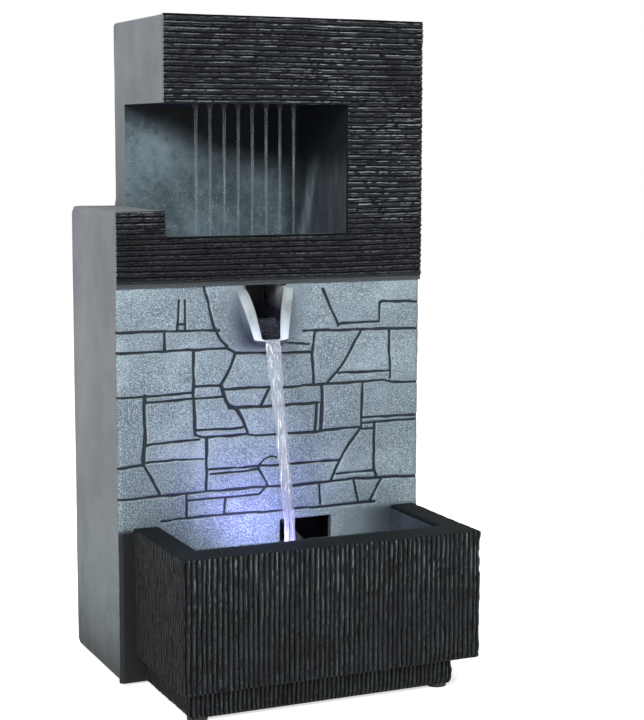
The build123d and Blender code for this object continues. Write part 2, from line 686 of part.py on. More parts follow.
def hose_clamps():
    """Two ring clamps with a pinch ear, one at each end of the hose."""
    outer = HOSE_BORE + HOSE_WALL
    rim = outer + CLAMP_WALL
    z0 = PUMP_TOP + 5.0
    low = rod_z(RISER_X, RISER_Y, z0, z0 + CLAMP_WIDTH, rim)
    low += block(
        RISER_X - CLAMP_EAR / 2,
        RISER_X + CLAMP_EAR / 2,
        RISER_Y + outer,
        RISER_Y + rim + CLAMP_EAR,
        z0,
        z0 + CLAMP_WIDTH,
    )
    low -= rod_z(RISER_X, RISER_Y, z0, z0 + CLAMP_WIDTH, outer)
    x0 = TRAY_RIGHT_X + 4.0
    high = rod_x(RISER_Y, TRAY_INLET_Z, x0, x0 + CLAMP_WIDTH, rim)
    high += block(
        x0,
        x0 + CLAMP_WIDTH,
        RISER_Y - CLAMP_EAR / 2,
        RISER_Y + CLAMP_EAR / 2,
        TRAY_INLET_Z + outer,
        TRAY_INLET_Z + rim + CLAMP_EAR,
    )
    high -= rod_x(RISER_Y, TRAY_INLET_Z, x0, x0 + CLAMP_WIDTH, outer)
    return group([low, high])


def cup_places():
    """(x, y) of the pump's suction cups."""
    across = PUMP_WIDTH / 2 - CUP_INSET
    return [
        (RISER_X + side * across, y)
        for side in (-1, 1)
        for y in (PUMP_FRONT_Y + CUP_INSET, PUMP_BACK_Y - CUP_INSET)
    ]


def pump_body():
    """The potted motor housing, with the volute and the rotor's well."""
    x0, x1 = RISER_X - PUMP_WIDTH / 2, RISER_X + PUMP_WIDTH / 2
    body = block(x0, x1, PUMP_FRONT_Y, PUMP_BACK_Y, PUMP_BOTTOM, PUMP_TOP)
    body = fillet(body.edges().filter_by(Axis.Y), PUMP_EDGE)
    volute_end = PUMP_FRONT_Y + VOLUTE_DEPTH
    body -= rod_y(RISER_X, PUMP_AXIS_Z, PUMP_FRONT_Y, volute_end, VOLUTE_RADIUS)
    body -= rod_y(RISER_X, PUMP_AXIS_Z, volute_end, WELL_END_Y, WELL_RADIUS)
    body -= rod_y(RISER_X, PUMP_AXIS_Z, WELL_END_Y, WELL_END_Y + BUSH_LENGTH, BUSH_RADIUS)
    body -= rod_z(RISER_X, RISER_Y, PUMP_AXIS_Z, PUMP_TOP, BARB_BORE)
    body -= rod_z(RISER_X, RISER_Y, PUMP_TOP - OUTLET_SINK, PUMP_TOP, OUTLET_HOLE_RADIUS)
    for x, y in cup_places():
        body -= rod_z(x, y, PUMP_BOTTOM, PUMP_BOTTOM + CUP_STEM_DEPTH, CUP_STEM_RADIUS)
    return body


def sector(inner, outer, middle_deg, sweep_deg, y0, y1):
    """A ring sector about the pump's axis, as a solid between two depths."""
    reach = outer * 3
    half = radians(sweep_deg / 2)
    mid = radians(middle_deg)
    wedge = Polyline(
        (RISER_X, PUMP_AXIS_Z),
        (RISER_X + reach * cos(mid - half), PUMP_AXIS_Z + reach * sin(mid - half)),
        (RISER_X + reach * cos(mid + half), PUMP_AXIS_Z + reach * sin(mid + half)),
        close=True,
    )
    plane = Plane(origin=(0, y0, 0), x_dir=(1, 0, 0), z_dir=(0, -1, 0))
    slice_of_it = extrude(plane * make_face(wedge), amount=-(y1 - y0))
    ring = rod_y(RISER_X, PUMP_AXIS_Z, y0, y1, outer) - rod_y(RISER_X, PUMP_AXIS_Z, y0, y1, inner)
    return ring & slice_of_it


def pump_cover():
    """The snap-on inlet cover: two windows behind the flow dial, and a seat for the front bush."""
    x0, x1 = RISER_X - PUMP_WIDTH / 2, RISER_X + PUMP_WIDTH / 2
    cover = block(x0, x1, COVER_FRONT_Y, PUMP_FRONT_Y, PUMP_BOTTOM, PUMP_TOP)
    cover = fillet(cover.edges().filter_by(Axis.Y), PUMP_EDGE)
    for middle in (90, 270):
        cover -= sector(
            INLET_INNER, INLET_OUTER, middle, INLET_SWEEP, COVER_FRONT_Y, PUMP_FRONT_Y
        )
    cover -= rod_y(RISER_X, PUMP_AXIS_Z, PUMP_FRONT_Y - BUSH_LENGTH, PUMP_FRONT_Y, BUSH_RADIUS)
    pin_hole = DIAL_PIN_RADIUS + DIAL_PIN_CLEARANCE
    cover -= rod_y(RISER_X, PUMP_AXIS_Z, COVER_FRONT_Y, PUMP_FRONT_Y - BUSH_LENGTH - 1.0, pin_hole)
    return cover


def pump_flow_dial():
    """The dial on the cover that opens and closes the inlet windows."""
    y0 = COVER_FRONT_Y - DIAL_THICKNESS
    dial = rod_y(RISER_X, PUMP_AXIS_Z, y0, COVER_FRONT_Y, DIAL_RADIUS)
    for middle in (90, 270):
        dial -= sector(INLET_INNER, INLET_OUTER, middle, INLET_SWEEP, y0, COVER_FRONT_Y)
    pin_end = PUMP_FRONT_Y - BUSH_LENGTH - 1.5
    dial += rod_y(RISER_X, PUMP_AXIS_Z, COVER_FRONT_Y, pin_end, DIAL_PIN_RADIUS)
    tab_x = RISER_X + DIAL_RADIUS - 2.0
    dial += block(tab_x, tab_x + 5.0, y0, COVER_FRONT_Y, PUMP_AXIS_Z - 2.0, PUMP_AXIS_Z + 2.0)
    return dial


def pump_impeller():
    """The impeller: straight blades on a hub, with a neck that carries the magnet."""
    y0 = PUMP_FRONT_Y + ROTOR_END_GAP
    blades_end = y0 + IMPELLER_DEPTH
    wheel = rod_y(RISER_X, PUMP_AXIS_Z, y0, blades_end, HUB_RADIUS)
    wheel += rod_y(RISER_X, PUMP_AXIS_Z, blades_end - 1.2, blades_end, IMPELLER_RADIUS)
    blade = block(
        0, IMPELLER_RADIUS, y0, blades_end, -BLADE_THICKNESS / 2, BLADE_THICKNESS / 2
    )
    for i in range(BLADE_COUNT):
        wheel += Pos(RISER_X, 0, PUMP_AXIS_Z) * Rot(0, i * 360 / BLADE_COUNT, 0) * blade
    neck_end = WELL_END_Y - ROTOR_END_GAP
    wheel += rod_y(RISER_X, PUMP_AXIS_Z, blades_end, neck_end, NECK_RADIUS)
    bore = SHAFT_RADIUS + SHAFT_CLEARANCE
    return wheel - rod_y(RISER_X, PUMP_AXIS_Z, y0, neck_end, bore)


def pump_rotor_magnet():
    """The ring magnet on the impeller's neck, in the rotor's well."""
    y1 = WELL_END_Y - ROTOR_END_GAP - 0.5
    y0 = y1 - MAGNET_LENGTH
    ring = rod_y(RISER_X, PUMP_AXIS_Z, y0, y1, MAGNET_RADIUS)
    return ring - rod_y(RISER_X, PUMP_AXIS_Z, y0, y1, NECK_RADIUS)


def pump_shaft():
    """The fixed ceramic shaft between the two bushes."""
    y0, y1 = PUMP_FRONT_Y - BUSH_LENGTH, WELL_END_Y + BUSH_LENGTH
    return rod_y(RISER_X, PUMP_AXIS_Z, y0, y1, SHAFT_RADIUS)


def pump_shaft_bushes():
    """The rubber bushes that hold the shaft, in the cover and at the end of the well."""
    bushes = []
    for y0 in (PUMP_FRONT_Y - BUSH_LENGTH, WELL_END_Y):
        ring = rod_y(RISER_X, PUMP_AXIS_Z, y0, y0 + BUSH_LENGTH, BUSH_RADIUS)
        bushes.append(ring - rod_y(RISER_X, PUMP_AXIS_Z, y0, y0 + BUSH_LENGTH, SHAFT_RADIUS))
    return group(bushes)


def pump_outlet_nozzle():
    """The screw-in outlet, with a flange and the barb for the hose."""
    sunk = rod_z(RISER_X, RISER_Y, PUMP_TOP - OUTLET_SINK, PUMP_TOP, OUTLET_HOLE_RADIUS)
    flange = rod_z(RISER_X, RISER_Y, PUMP_TOP, PUMP_TOP + 2.0, NOZZLE_FLANGE)
    top = PUMP_TOP + 2.0 + BARB_LENGTH
    barb = rod_z(RISER_X, RISER_Y, PUMP_TOP + 2.0, top, BARB_RADIUS)
    return sunk + flange + barb - rod_z(RISER_X, RISER_Y, PUMP_TOP - OUTLET_SINK, top, BARB_BORE)


def pump_suction_cups():
    """Four rubber cups under the pump."""
    cups = []
    waist = PUMP_BOTTOM - CHAMBER_FLOOR
    for x, y in cup_places():
        skirt = Pos(x, y, CHAMBER_FLOOR + waist / 2) * Cone(CUP_RADIUS, CUP_STEM_RADIUS + 1.0, waist)
        hollow = Pos(x, y, CHAMBER_FLOOR + waist / 6) * Cone(CUP_RADIUS - CUP_LIP, 1.0, waist / 3)
        stem = rod_z(x, y, PUMP_BOTTOM, PUMP_BOTTOM + CUP_STEM_DEPTH, CUP_STEM_RADIUS)
        cups.append(skirt - hollow + stem)
    return group(cups)


def lamp_housing():
    """The lamp's cup."""
    inner = LAMP_RADIUS - LAMP_WALL
    cup = rod_z(LAMP_X, LAMP_Y, LAMP_BOTTOM, LAMP_TOP, LAMP_RADIUS)
    cup -= rod_z(LAMP_X, LAMP_Y, LAMP_BOTTOM + LAMP_WALL, LAMP_TOP, inner)
    return cup - rod_x(LAMP_Y, LAMP_GLAND_Z, LAMP_X + inner / 2, LAMP_GLAND_END_X, GLAND_RADIUS)


def lamp_lead_gland():
    """The rubber sleeve that seals the lead's way into the lamp."""
    x0 = LAMP_X + LAMP_RADIUS - LAMP_WALL
    return rod_x(LAMP_Y, LAMP_GLAND_Z, x0, LAMP_GLAND_END_X, GLAND_RADIUS)


def lamp_board():
    """The round circuit board in the lamp, on a raised ring of the cup's floor."""
    z0 = LAMP_BOTTOM + LAMP_WALL
    radius = LAMP_RADIUS - LAMP_WALL - 0.5
    post = rod_z(LAMP_X, LAMP_Y, z0, z0 + BOARD_LIFT, 3.0)
    return post + rod_z(LAMP_X, LAMP_Y, z0 + BOARD_LIFT, z0 + BOARD_LIFT + BOARD_THICKNESS, radius)


def lamp_chips():
    """The ring of light-emitting chips on the board."""
    z0 = LAMP_BOTTOM + LAMP_WALL + BOARD_LIFT + BOARD_THICKNESS
    chips = []
    for i in range(CHIP_COUNT):
        angle = i * 360 / CHIP_COUNT
        chip = Pos(CHIP_RING, 0, z0 + CHIP_HEIGHT / 2) * Box(CHIP_SIZE, CHIP_SIZE, CHIP_HEIGHT)
        chips.append(Pos(LAMP_X, LAMP_Y, 0) * Rot(0, 0, angle) * chip)
    return group(chips)


def lamp_lens():
    """The clear lens that closes the lamp, seated inside the cup's wall."""
    radius = LAMP_RADIUS - LAMP_WALL - LENS_CLEARANCE
    return rod_z(LAMP_X, LAMP_Y, LAMP_TOP - LENS_THICKNESS, LAMP_TOP, radius)


def lamp_seal():
    """The sealing ring between the lens and the bezel."""
    z0 = LAMP_TOP
    outer = LAMP_RADIUS - LAMP_WALL - 2 * LENS_CLEARANCE
    ring = rod_z(LAMP_X, LAMP_Y, z0, z0 + SEAL_SECTION, outer)
    return ring - rod_z(LAMP_X, LAMP_Y, z0, z0 + SEAL_SECTION, outer - 2 * SEAL_SECTION)


def lamp_bezel():
    """The ring that holds the lens down."""
    z0 = LAMP_TOP
    ring = rod_z(LAMP_X, LAMP_Y, z0, z0 + BEZEL_HEIGHT, LAMP_RADIUS)
    ring -= rod_z(LAMP_X, LAMP_Y, z0, z0 + BEZEL_HEIGHT, LAMP_RADIUS - BEZEL_LAP)
    seat_radius = LAMP_RADIUS - LAMP_WALL - 2 * LENS_CLEARANCE
    return ring - rod_z(LAMP_X, LAMP_Y, z0, z0 + SEAL_SECTION, seat_radius)


def lamp_suction_cup():
    """The rubber cup that holds the lamp to the bowl's floor."""
    height = LAMP_CUP_HEIGHT
    skirt = Pos(LAMP_X, LAMP_Y, BOWL_FLOOR + height / 2) * Cone(LAMP_RADIUS - 4.0, 5.0, height)
    hollow = Pos(LAMP_X, LAMP_Y, BOWL_FLOOR + height / 6) * Cone(LAMP_RADIUS - 6.0, 4.0, height / 3)
    return skirt - hollow


def rounded_route(points):
    """A path of straight runs and tangent arcs, each arc as large as its two runs allow."""
    spots = [Vector(*p) for p in points]
    radii = []
    for before, here, after in zip(spots, spots[1:], spots[2:]):
        arriving, leaving = here - before, after - here
        turn = arriving.get_angle(leaving)
        shorter = min(arriving.length, leaving.length)
        radii.append(0.45 * shorter / tan(radians(turn / 2)))
    return FilletPolyline(*spots, radius=radii), radii


def lead(points):
    """A round lead swept along its rounded route."""
    path, radii = rounded_route(points)
    first, second = Vector(*points[0]), Vector(*points[1])
    section = Plane(origin=first, z_dir=second - first) * Circle(LEAD_RADIUS)
    print("lead radii", [round(r, 1) for r in radii], "length", round(path.length, 1))
    return sweep(section, path=path)


def pump_lead_gland():
    """The moulded sleeve on the pump that its lead leaves by."""
    top = PUMP_TOP + PUMP_GLAND_HEIGHT
    return rod_z(PUMP_GLAND_X, PUMP_GLAND_Y, PUMP_TOP, top, PUMP_GLAND_RADIUS)


def pump_lead():
    """The pump's lead: up from the motor, along the chamber's front wall, back to the inlet."""
    end_x = INLET_X + INLET_LEAD_OFFSET
    return lead(
        [
            (PUMP_GLAND_X, PUMP_GLAND_Y, PUMP_TOP + PUMP_GLAND_HEIGHT),
            (PUMP_GLAND_X, PUMP_GLAND_Y, 72.0),
            (54.0, 48.0, 86.0),
            (47.0, 34.0, 95.0),
            (37.0, 20.0, 101.0),
            (25.0, 11.0, 105.0),
            (8.0, 8.0, 105.4),
            (-10.0, LEAD_WALL_Y, PUMP_LEAD_Z),
            (-44.0, LEAD_WALL_Y, PUMP_LEAD_Z),
            (-61.0, 9.5, 107.0),
            (-73.0, 22.0, 111.5),
            (-76.5, 38.0, 118.0),
            (-72.0, 52.0, 128.0),
            (end_x, INLET_TAIL_Y - 12.0, INLET_HEIGHT),
            (end_x, INLET_TAIL_Y, INLET_HEIGHT),
        ]
    )


def lamp_lead():
    """The lamp's lead: out of the cup, through the return window, below the pump's lead."""
    end_x = INLET_X - INLET_LEAD_OFFSET
    return lead(
        [
            (LAMP_GLAND_END_X, LAMP_Y, LAMP_GLAND_Z),
            (20.0, LAMP_Y, LAMP_GLAND_Z),
            (29.0, -23.5, 50.0),
            (30.5, -14.0, 60.0),
            (27.0, -3.0, 70.0),
            (20.0, 6.5, 80.0),
            (9.0, 8.2, 92.0),
            (-8.0, LEAD_WALL_Y, LAMP_LEAD_Z),
            (-44.0, LEAD_WALL_Y, LAMP_LEAD_Z),
            (-62.0, 9.5, 101.5),
            (-77.0, 23.0, 106.0),
            (-83.0, 40.0, 115.0),
            (-78.0, 53.0, 127.0),
            (end_x, INLET_TAIL_Y - 12.0, INLET_HEIGHT),
            (end_x, INLET_TAIL_Y, INLET_HEIGHT),
        ]
    )


def lead_clip():
    """The clip on the chamber's front wall that holds both leads."""
    z0, z1 = LAMP_LEAD_Z - CLIP_MARGIN, PUMP_LEAD_Z + CLIP_MARGIN
    x0, x1 = CLIP_X - CLIP_WIDTH / 2, CLIP_X + CLIP_WIDTH / 2
    y1 = LEAD_WALL_Y + CLIP_MARGIN
    clip = block(x0, x1, INNER_FRONT_Y, y1, z0, z1)
    for z in (PUMP_LEAD_Z, LAMP_LEAD_Z):
        clip -= rod_x(LEAD_WALL_Y, z, x0, x1, LEAD_RADIUS + CLIP_CLEARANCE)
        slot = LEAD_RADIUS / 2
        clip -= block(x0, x1, LEAD_WALL_Y, y1, z - slot, z + slot)
    return clip


def power_inlet():
    """The low-voltage socket in the back panel, with its centre pin."""
    face = PANEL_OUTER_Y + PANEL_RECESS
    inlet = rod_y(INLET_X, INLET_HEIGHT, PANEL_OUTER_Y, face, INLET_FLANGE_RADIUS)
    inlet += rod_y(INLET_X, INLET_HEIGHT, INLET_TAIL_Y, PANEL_OUTER_Y, INLET_RADIUS)
    depth = face - INLET_SOCKET_DEPTH
    inlet -= rod_y(INLET_X, INLET_HEIGHT, depth, face, INLET_SOCKET_RADIUS)
    return inlet + rod_y(INLET_X, INLET_HEIGHT, depth, face - PANEL_RECESS, INLET_PIN_RADIUS)


def power_inlet_nut():
    """The hexagonal nut that clamps the inlet to the panel from inside."""
    hexagon = RegularPolygon(radius=NUT_RADIUS, side_count=6)
    plane = Plane(
        origin=(INLET_X, PANEL_INNER_Y, INLET_HEIGHT), x_dir=(1, 0, 0), z_dir=(0, -1, 0)
    )
    nut = extrude(plane * hexagon, amount=NUT_THICKNESS)
    return nut - rod_y(
        INLET_X, INLET_HEIGHT, PANEL_INNER_Y - NUT_THICKNESS, PANEL_INNER_Y, INLET_RADIUS
    )


def rubber_feet():
    """Six rubber pads, half sunk in the castings, that the fountain stands on."""
    return group(rod_z(x, y, 0, FOOT_THICKNESS, FOOT_RADIUS) for x, y in foot_places())


def main():
    makers = [
        tower_casting,
        basin_casting,
        spout,
        back_panel,
        back_panel_screws,
        access_door,
        door_hinge_pins,
        door_latch,
        latch_cam,
        rain_tray,
        rain_tray_lid,
        rain_nozzles,
        riser_hose,
        hose_clamps,
        pump_body,
        pump_cover,
        pump_flow_dial,
        pump_impeller,
        pump_rotor_magnet,
        pump_shaft,
        pump_shaft_bushes,
        pump_outlet_nozzle,
        pump_suction_cups,
        lamp_housing,
        lamp_board,
        lamp_chips,
        lamp_lens,
        lamp_seal,
        lamp_bezel,
        lamp_suction_cup,
        lamp_lead_gland,
        pump_lead_gland,
        pump_lead,
        lamp_lead,
        lead_clip,
        power_inlet,
        power_inlet_nut,
        rubber_feet,
    ]
    os.makedirs("parts", exist_ok=True)
    for maker in makers:
        export_step(maker(), f"parts/{maker.__name__}.step")


main()
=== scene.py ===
import math

import bmesh
import bpy
import numpy as np
from mathutils import Matrix, Vector


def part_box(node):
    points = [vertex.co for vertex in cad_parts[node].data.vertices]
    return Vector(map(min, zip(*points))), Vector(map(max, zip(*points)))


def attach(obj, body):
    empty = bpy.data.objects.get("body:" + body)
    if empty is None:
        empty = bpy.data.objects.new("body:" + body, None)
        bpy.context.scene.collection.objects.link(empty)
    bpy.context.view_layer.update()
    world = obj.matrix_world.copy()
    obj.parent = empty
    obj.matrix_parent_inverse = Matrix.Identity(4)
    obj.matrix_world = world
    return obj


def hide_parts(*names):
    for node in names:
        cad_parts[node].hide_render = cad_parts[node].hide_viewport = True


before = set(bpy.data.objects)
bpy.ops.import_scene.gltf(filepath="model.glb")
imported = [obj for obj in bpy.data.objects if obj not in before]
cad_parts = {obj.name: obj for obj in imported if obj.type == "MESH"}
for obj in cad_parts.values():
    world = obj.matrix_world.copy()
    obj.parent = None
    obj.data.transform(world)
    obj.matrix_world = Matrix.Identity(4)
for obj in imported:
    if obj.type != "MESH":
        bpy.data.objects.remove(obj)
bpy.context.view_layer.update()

MM = 0.001
NEAR, CLOSE = 1e-6, 1e-5  # places in metres this near count as the same

# Tower, in the frame of the CAD model
TOWER_LOW, TOWER_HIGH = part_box("tower_casting")
FRONT_Y = TOWER_LOW.y
BACK_Y = TOWER_HIGH.y
UPPER_LEFT_X = -70 * MM
NICHE_RIGHT_X = 49 * MM
NICHE_BACK_Y = 70 * MM
BAND_BOTTOM = 240 * MM
SILL_Z = 270 * MM
SHOULDER_Z = 285.5 * MM
NICHE_TOP = 348.5 * MM
TROUGH_FLOOR = 254 * MM
TROUGH_FRONT_Y = FRONT_Y + 8 * MM
STONE_Y = FRONT_Y + 2.5 * MM
RESIN_WALL = 6 * MM
RIB_BACK_Y = FRONT_Y + 4 * MM
STONE_BACK_Y = STONE_Y + 3 * MM
INNER_FRONT_Y = STONE_Y + RESIN_WALL
WINDOW_LOW_X, WINDOW_HIGH_X = 4 * MM, 39.5 * MM
WINDOW_LOW_Z, WINDOW_HIGH_Z = 62 * MM, 93.5 * MM
PANEL_LOW, PANEL_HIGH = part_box("back_panel")
PANEL_LOW_Y = PANEL_HIGH.y - 3 * MM
LEDGE_FRONT_Y = PANEL_HIGH.y - 9 * MM
LEDGE_WIDTH = 7 * MM
CHAMBER_RIM = PANEL_LOW.z - 0.4 * MM
CEILING_TOP = NICHE_TOP + RESIN_WALL
TROUGH_UNDERSIDE = TROUGH_FLOOR - RESIN_WALL
PANEL_INSET = 9 * MM
RIB_PITCH = 3.25 * MM
RIB_DEPTH = 1.5 * MM
JOINT_DEPTH = 1.3 * MM
BACK_CORNER = 7 * MM
SOFT_EDGE = 2.5 * MM

# Basin
BASIN_LOW, BASIN_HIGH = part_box("basin_casting")
RIM_SIDE = 17.5 * MM
RIM_FRONT = 24.5 * MM
BOWL_FLOOR = 34 * MM
BOWL_DRAFT = 3 * MM
BASIN_UNDERSIDE = 18.5 * MM
PLINTH_LEFT, PLINTH_RIGHT, PLINTH_FRONT = 6 * MM, 14 * MM, 8 * MM
BASIN_RIB_PITCH = 3.13 * MM
BASIN_RIB_DEPTH = 1.1 * MM

# Spout and water
SPOUT_LOW, SPOUT_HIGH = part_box("spout")
SPOUT_MIDDLE = (SPOUT_LOW.x + SPOUT_HIGH.x) / 2
THROAT_LOW_X, THROAT_HIGH_X = SPOUT_LOW.x + 4 * MM, SPOUT_HIGH.x - 4 * MM
THROAT_LOW_Z = SPOUT_LOW.z + 11 * MM
SLOT_LOW_X, SLOT_HIGH_X = -15 * MM, 3 * MM
SLOT_LOW_Y, SLOT_HIGH_Y = 8.5 * MM, 20.5 * MM
NOZZLES_LOW, NOZZLES_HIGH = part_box("rain_nozzles")
STREAM_COUNT = 8
FIRST_STREAM_X, LAST_STREAM_X = NOZZLES_LOW.x + 3.2 * MM, NOZZLES_HIGH.x - 3.2 * MM
STREAM_Y = (NOZZLES_LOW.y + NOZZLES_HIGH.y) / 2
STREAM_RADIUS = 0.85 * MM
POOL_LEVEL = 80 * MM
TROUGH_LEVEL = 265.5 * MM
WATER_SHEET = 3 * MM

# Camera: place in metres, turns in degrees
CAMERA_PLACE = (-0.4046, -0.9639, 0.3272)
CAMERA_AZIMUTH, CAMERA_DROP, CAMERA_ROLL = -24.46, 7.31, 0.18
CAMERA_LENS = 85.84
FLOOR_REACH = 6.0

# Joints of the stone pattern, (x, z) in millimetres on the wall, each with its width
JOINTS = [
    (1.2, [(-100, 214), (-60, 214), (-35, 213)]),
    (1.2, [(-61, 232), (-62, 215)]),
    (1.0, [(-57, 232), (-57, 215)]),
    (1.0, [(-61, 218), (-57, 218)]),
    (1.3, [(-45, 240), (-42, 228), (-39, 216), (-34, 207), (-30, 203)]),
    (1.6, [(-70, 213), (-70, 203)]),
    (1.3, [(-100, 202), (-30, 202), (-25, 199), (-5, 198), (25, 197)]),
    (1.1, [(6, 204), (24, 202)]),
    (1.4, [(-25, 199), (-28, 190), (-34, 180)]),
    (1.4, [(-52, 202), (-52, 178)]),
    (1.2, [(-51, 180), (-34, 179.5)]),
    (1.2, [(-100, 175.5), (-52, 176)]),
    (1.8, [(-34, 180), (-31, 170), (-29, 167), (-24, 164.5), (-20, 157), (-17, 150)]),
    (1.5, [(-33, 177), (-2, 177), (-8, 166)]),
    (1.2, [(-82, 172), (-33, 172.5)]),
    (1.8, [(-83, 176), (-83, 150), (-84, 135)]),
    (1.6, [(-52, 177), (-51, 150)]),
    (1.4, [(-29, 165.5), (2, 165), (30, 165)]),
    (1.2, [(-50, 153), (-20, 152.5)]),
    (1.3, [(-50, 150), (-46, 148.5), (-17, 148.5), (-13, 147.5), (2, 147), (27, 147), (60, 148)]),
    (1.2, [(-82, 146), (-48, 147.5)]),
    (1.5, [(-44, 148), (-44, 130), (-44.5, 116)]),
    (1.1, [(-82, 135.5), (-65, 136), (-46, 135)]),
    (1.4, [(-100, 133), (-84, 134.5), (-74, 116)]),
    (1.2, [(-42, 128.5), (2, 128), (45, 128)]),
    (1.1, [(-42, 125.5), (-10, 126)]),
    (1.0, [(-10, 128), (-6, 132), (-2, 134), (2, 133)]),
    (1.4, [(-10, 127), (-4, 116), (-9, 111)]),
    (1.3, [(-100, 114), (-45, 115), (-5, 115), (12, 114), (55, 115), (100, 113.5)]),
    (1.3, [(-57, 114), (-57, 100.5)]),
    (1.1, [(-56, 110.5), (-10, 110.5)]),
    (1.3, [(-32, 110), (-33, 101)]),
    (1.2, [(-73, 99), (-32, 100), (3, 99), (70, 99.5)]),
    (1.3, [(31, 113), (32, 101)]),
    (1.3, [(55, 114), (58, 101)]),
    (1.2, [(74, 113), (67, 101)]),
    (1.5, [(33, 236), (44, 213)]),
    (1.2, [(45, 214), (72, 214), (72, 226), (74, 227), (100, 226)]),
    (1.3, [(20, 210.5), (45, 210), (100, 209)]),
    (1.4, [(28, 209), (26, 196), (27, 177)]),
    (1.4, [(59, 208), (48, 190), (43, 184), (37, 178)]),
    (1.2, [(44, 183), (79, 183)]),
    (1.4, [(79, 209), (80, 178)]),
    (1.3, [(6, 176), (27, 176.5), (75, 177), (82, 175), (100, 174.5)]),
    (1.8, [(33, 176), (32, 148)]),
    (1.4, [(29, 165), (28, 148)]),
    (1.4, [(61, 176), (60, 148)]),
    (1.2, [(60, 154), (100, 153)]),
    (1.1, [(60, 150.5), (100, 150.5)]),
    (1.2, [(59, 147), (69, 146.5)]),
    (1.3, [(69, 150), (69, 120), (71, 115)]),
    (1.5, [(59, 147), (48, 133), (43, 124), (39, 115)]),
    (1.1, [(43, 119), (69, 119.5)]),
]

LATTICE = np.random.default_rng(11).random((256, 256))


# ---- Noise and small sums ----------------------------------------------------


def noise(a, b, seed=0):
    """Smooth noise from 0 to 1 over a plane, with a wave about every unit."""
    a, b = np.broadcast_arrays(np.asarray(a, float), np.asarray(b, float))
    ia, ib = np.floor(a).astype(int), np.floor(b).astype(int)
    fa, fb = a - ia, b - ib
    fa, fb = fa * fa * (3 - 2 * fa), fb * fb * (3 - 2 * fb)

    def at(i, j):
        return LATTICE[(i + 37 * seed) % 256, (j + 101 * seed) % 256]

    low = at(ia, ib) * (1 - fa) + at(ia + 1, ib) * fa
    high = at(ia, ib + 1) * (1 - fa) + at(ia + 1, ib + 1) * fa
    return low * (1 - fb) + high * fb


def rough(a, b, seed=0):
    """Three layers of noise, from 0 to 1."""
    total = noise(a, b, seed) + 0.5 * noise(2.1 * a, 2.1 * b, seed + 3)
    return (total + 0.25 * noise(4.3 * a, 4.3 * b, seed + 5)) / 1.75


def noise_mm(a, b, wave_a, wave_b, seed):
    """Smooth noise over places in metres, with its waves in millimetres."""
    return noise(a / (wave_a * MM), b / (wave_b * MM), seed)


def rough_mm(a, b, wave_a, wave_b, seed):
    """Three layers of noise over places in metres, with the longest waves in millimetres."""
    return rough(a / (wave_a * MM), b / (wave_b * MM), seed)


def smooth(low, high, value):
    """0 below low, 1 above high, and a smooth step between."""
    t = np.clip((value - low) / (high - low), 0, 1)
    return t * t * (3 - 2 * t)


def within(value, low, high):
    """Whether each value lies between two limits."""
    return (value > low) & (value < high)


def bell(value, width):
    """1 at 0, falling away smoothly to both sides."""
    return np.exp(-((value / width) ** 2))


def steps(stops, step):
    """Sorted coordinates that hold every stop, about a step apart."""
    out = []
    for a, b in zip(stops, stops[1:]):
        count = max(1, round((b - a) / step))
        out += [a + (b - a) * i / count for i in range(count)]
    return np.array(out + [stops[-1]])


# ---- Meshes ------------------------------------------------------------------


def new_object(name, mesh, materials, smooth_faces=True):
    """Links a mesh as an object with its materials."""
    for material in materials:
        mesh.materials.append(material)
    mesh.polygons.foreach_set("use_smooth", [smooth_faces] * len(mesh.polygons))
    return put(name, mesh)


def put(name, data):
    """A new object in the scene."""
    made = bpy.data.objects.new(name, data)
    bpy.context.scene.collection.objects.link(made)
    return made


def mesh_of(name, points, faces, attributes=None):
    """A mesh from arrays, with float attributes on its points."""
    mesh = bpy.data.meshes.new(name)
    mesh.from_pydata([tuple(p) for p in points], [], [tuple(int(i) for i in f) for f in faces])
    for key, values in (attributes or {}).items():
        mesh.attributes.new(key, "FLOAT", "POINT").data.foreach_set("value", values)
    return mesh


def add_piece(piece, slot, *nodes):
    """Lets a piece ride on the fountain and hides the CAD nodes it stands for. The slot it is given
    is not used.
    """
    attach(piece, "fountain")
    if nodes:
        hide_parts(*nodes)
    return piece


def relief_slab(name, places, keep, back, attributes):
    """A closed slab between two grids of points (nx, nz, 3), its front and back, where keep is."""
    nx, nz = places.shape[:2]
    index = np.arange(nx * nz).reshape(nx, nz)
    i, j = np.nonzero(keep)
    quads = np.stack([index[i, j], index[i + 1, j], index[i + 1, j + 1], index[i, j + 1]], 1)
    padded = np.zeros((nx + 1, nz + 1), bool)
    padded[1:-1, 1:-1] = keep
    rims = []
    for di, dj, a, b in ((0, -1, 0, 1), (1, 0, 1, 2), (0, 1, 2, 3), (-1, 0, 3, 0)):
        open_side = ~padded[i + 1 + di, j + 1 + dj]
        rims.append(quads[open_side][:, [a, b]])
    rims = np.concatenate(rims)
    used, faces = np.unique(quads, return_inverse=True)
    faces = faces.reshape(quads.shape)
    place_of = {int(u): k for k, u in enumerate(used)}
    points = places.reshape(-1, 3)[used]
    ring = sorted({int(v) for v in rims.ravel()})
    back_of = {v: len(points) + k for k, v in enumerate(ring)}
    back_points = back.reshape(-1, 3)[ring]
    sides = [(place_of[b], place_of[a], back_of[a], back_of[b]) for a, b in rims.tolist()]
    columns = {}
    for key, values in attributes.items():
        flat = values.reshape(-1)
        columns[key] = np.concatenate([flat[used], flat[ring] * 0])
    mesh = mesh_of(name, np.concatenate([points, back_points]), faces.tolist() + sides, columns)
    cap_open_edges(mesh)
    return mesh


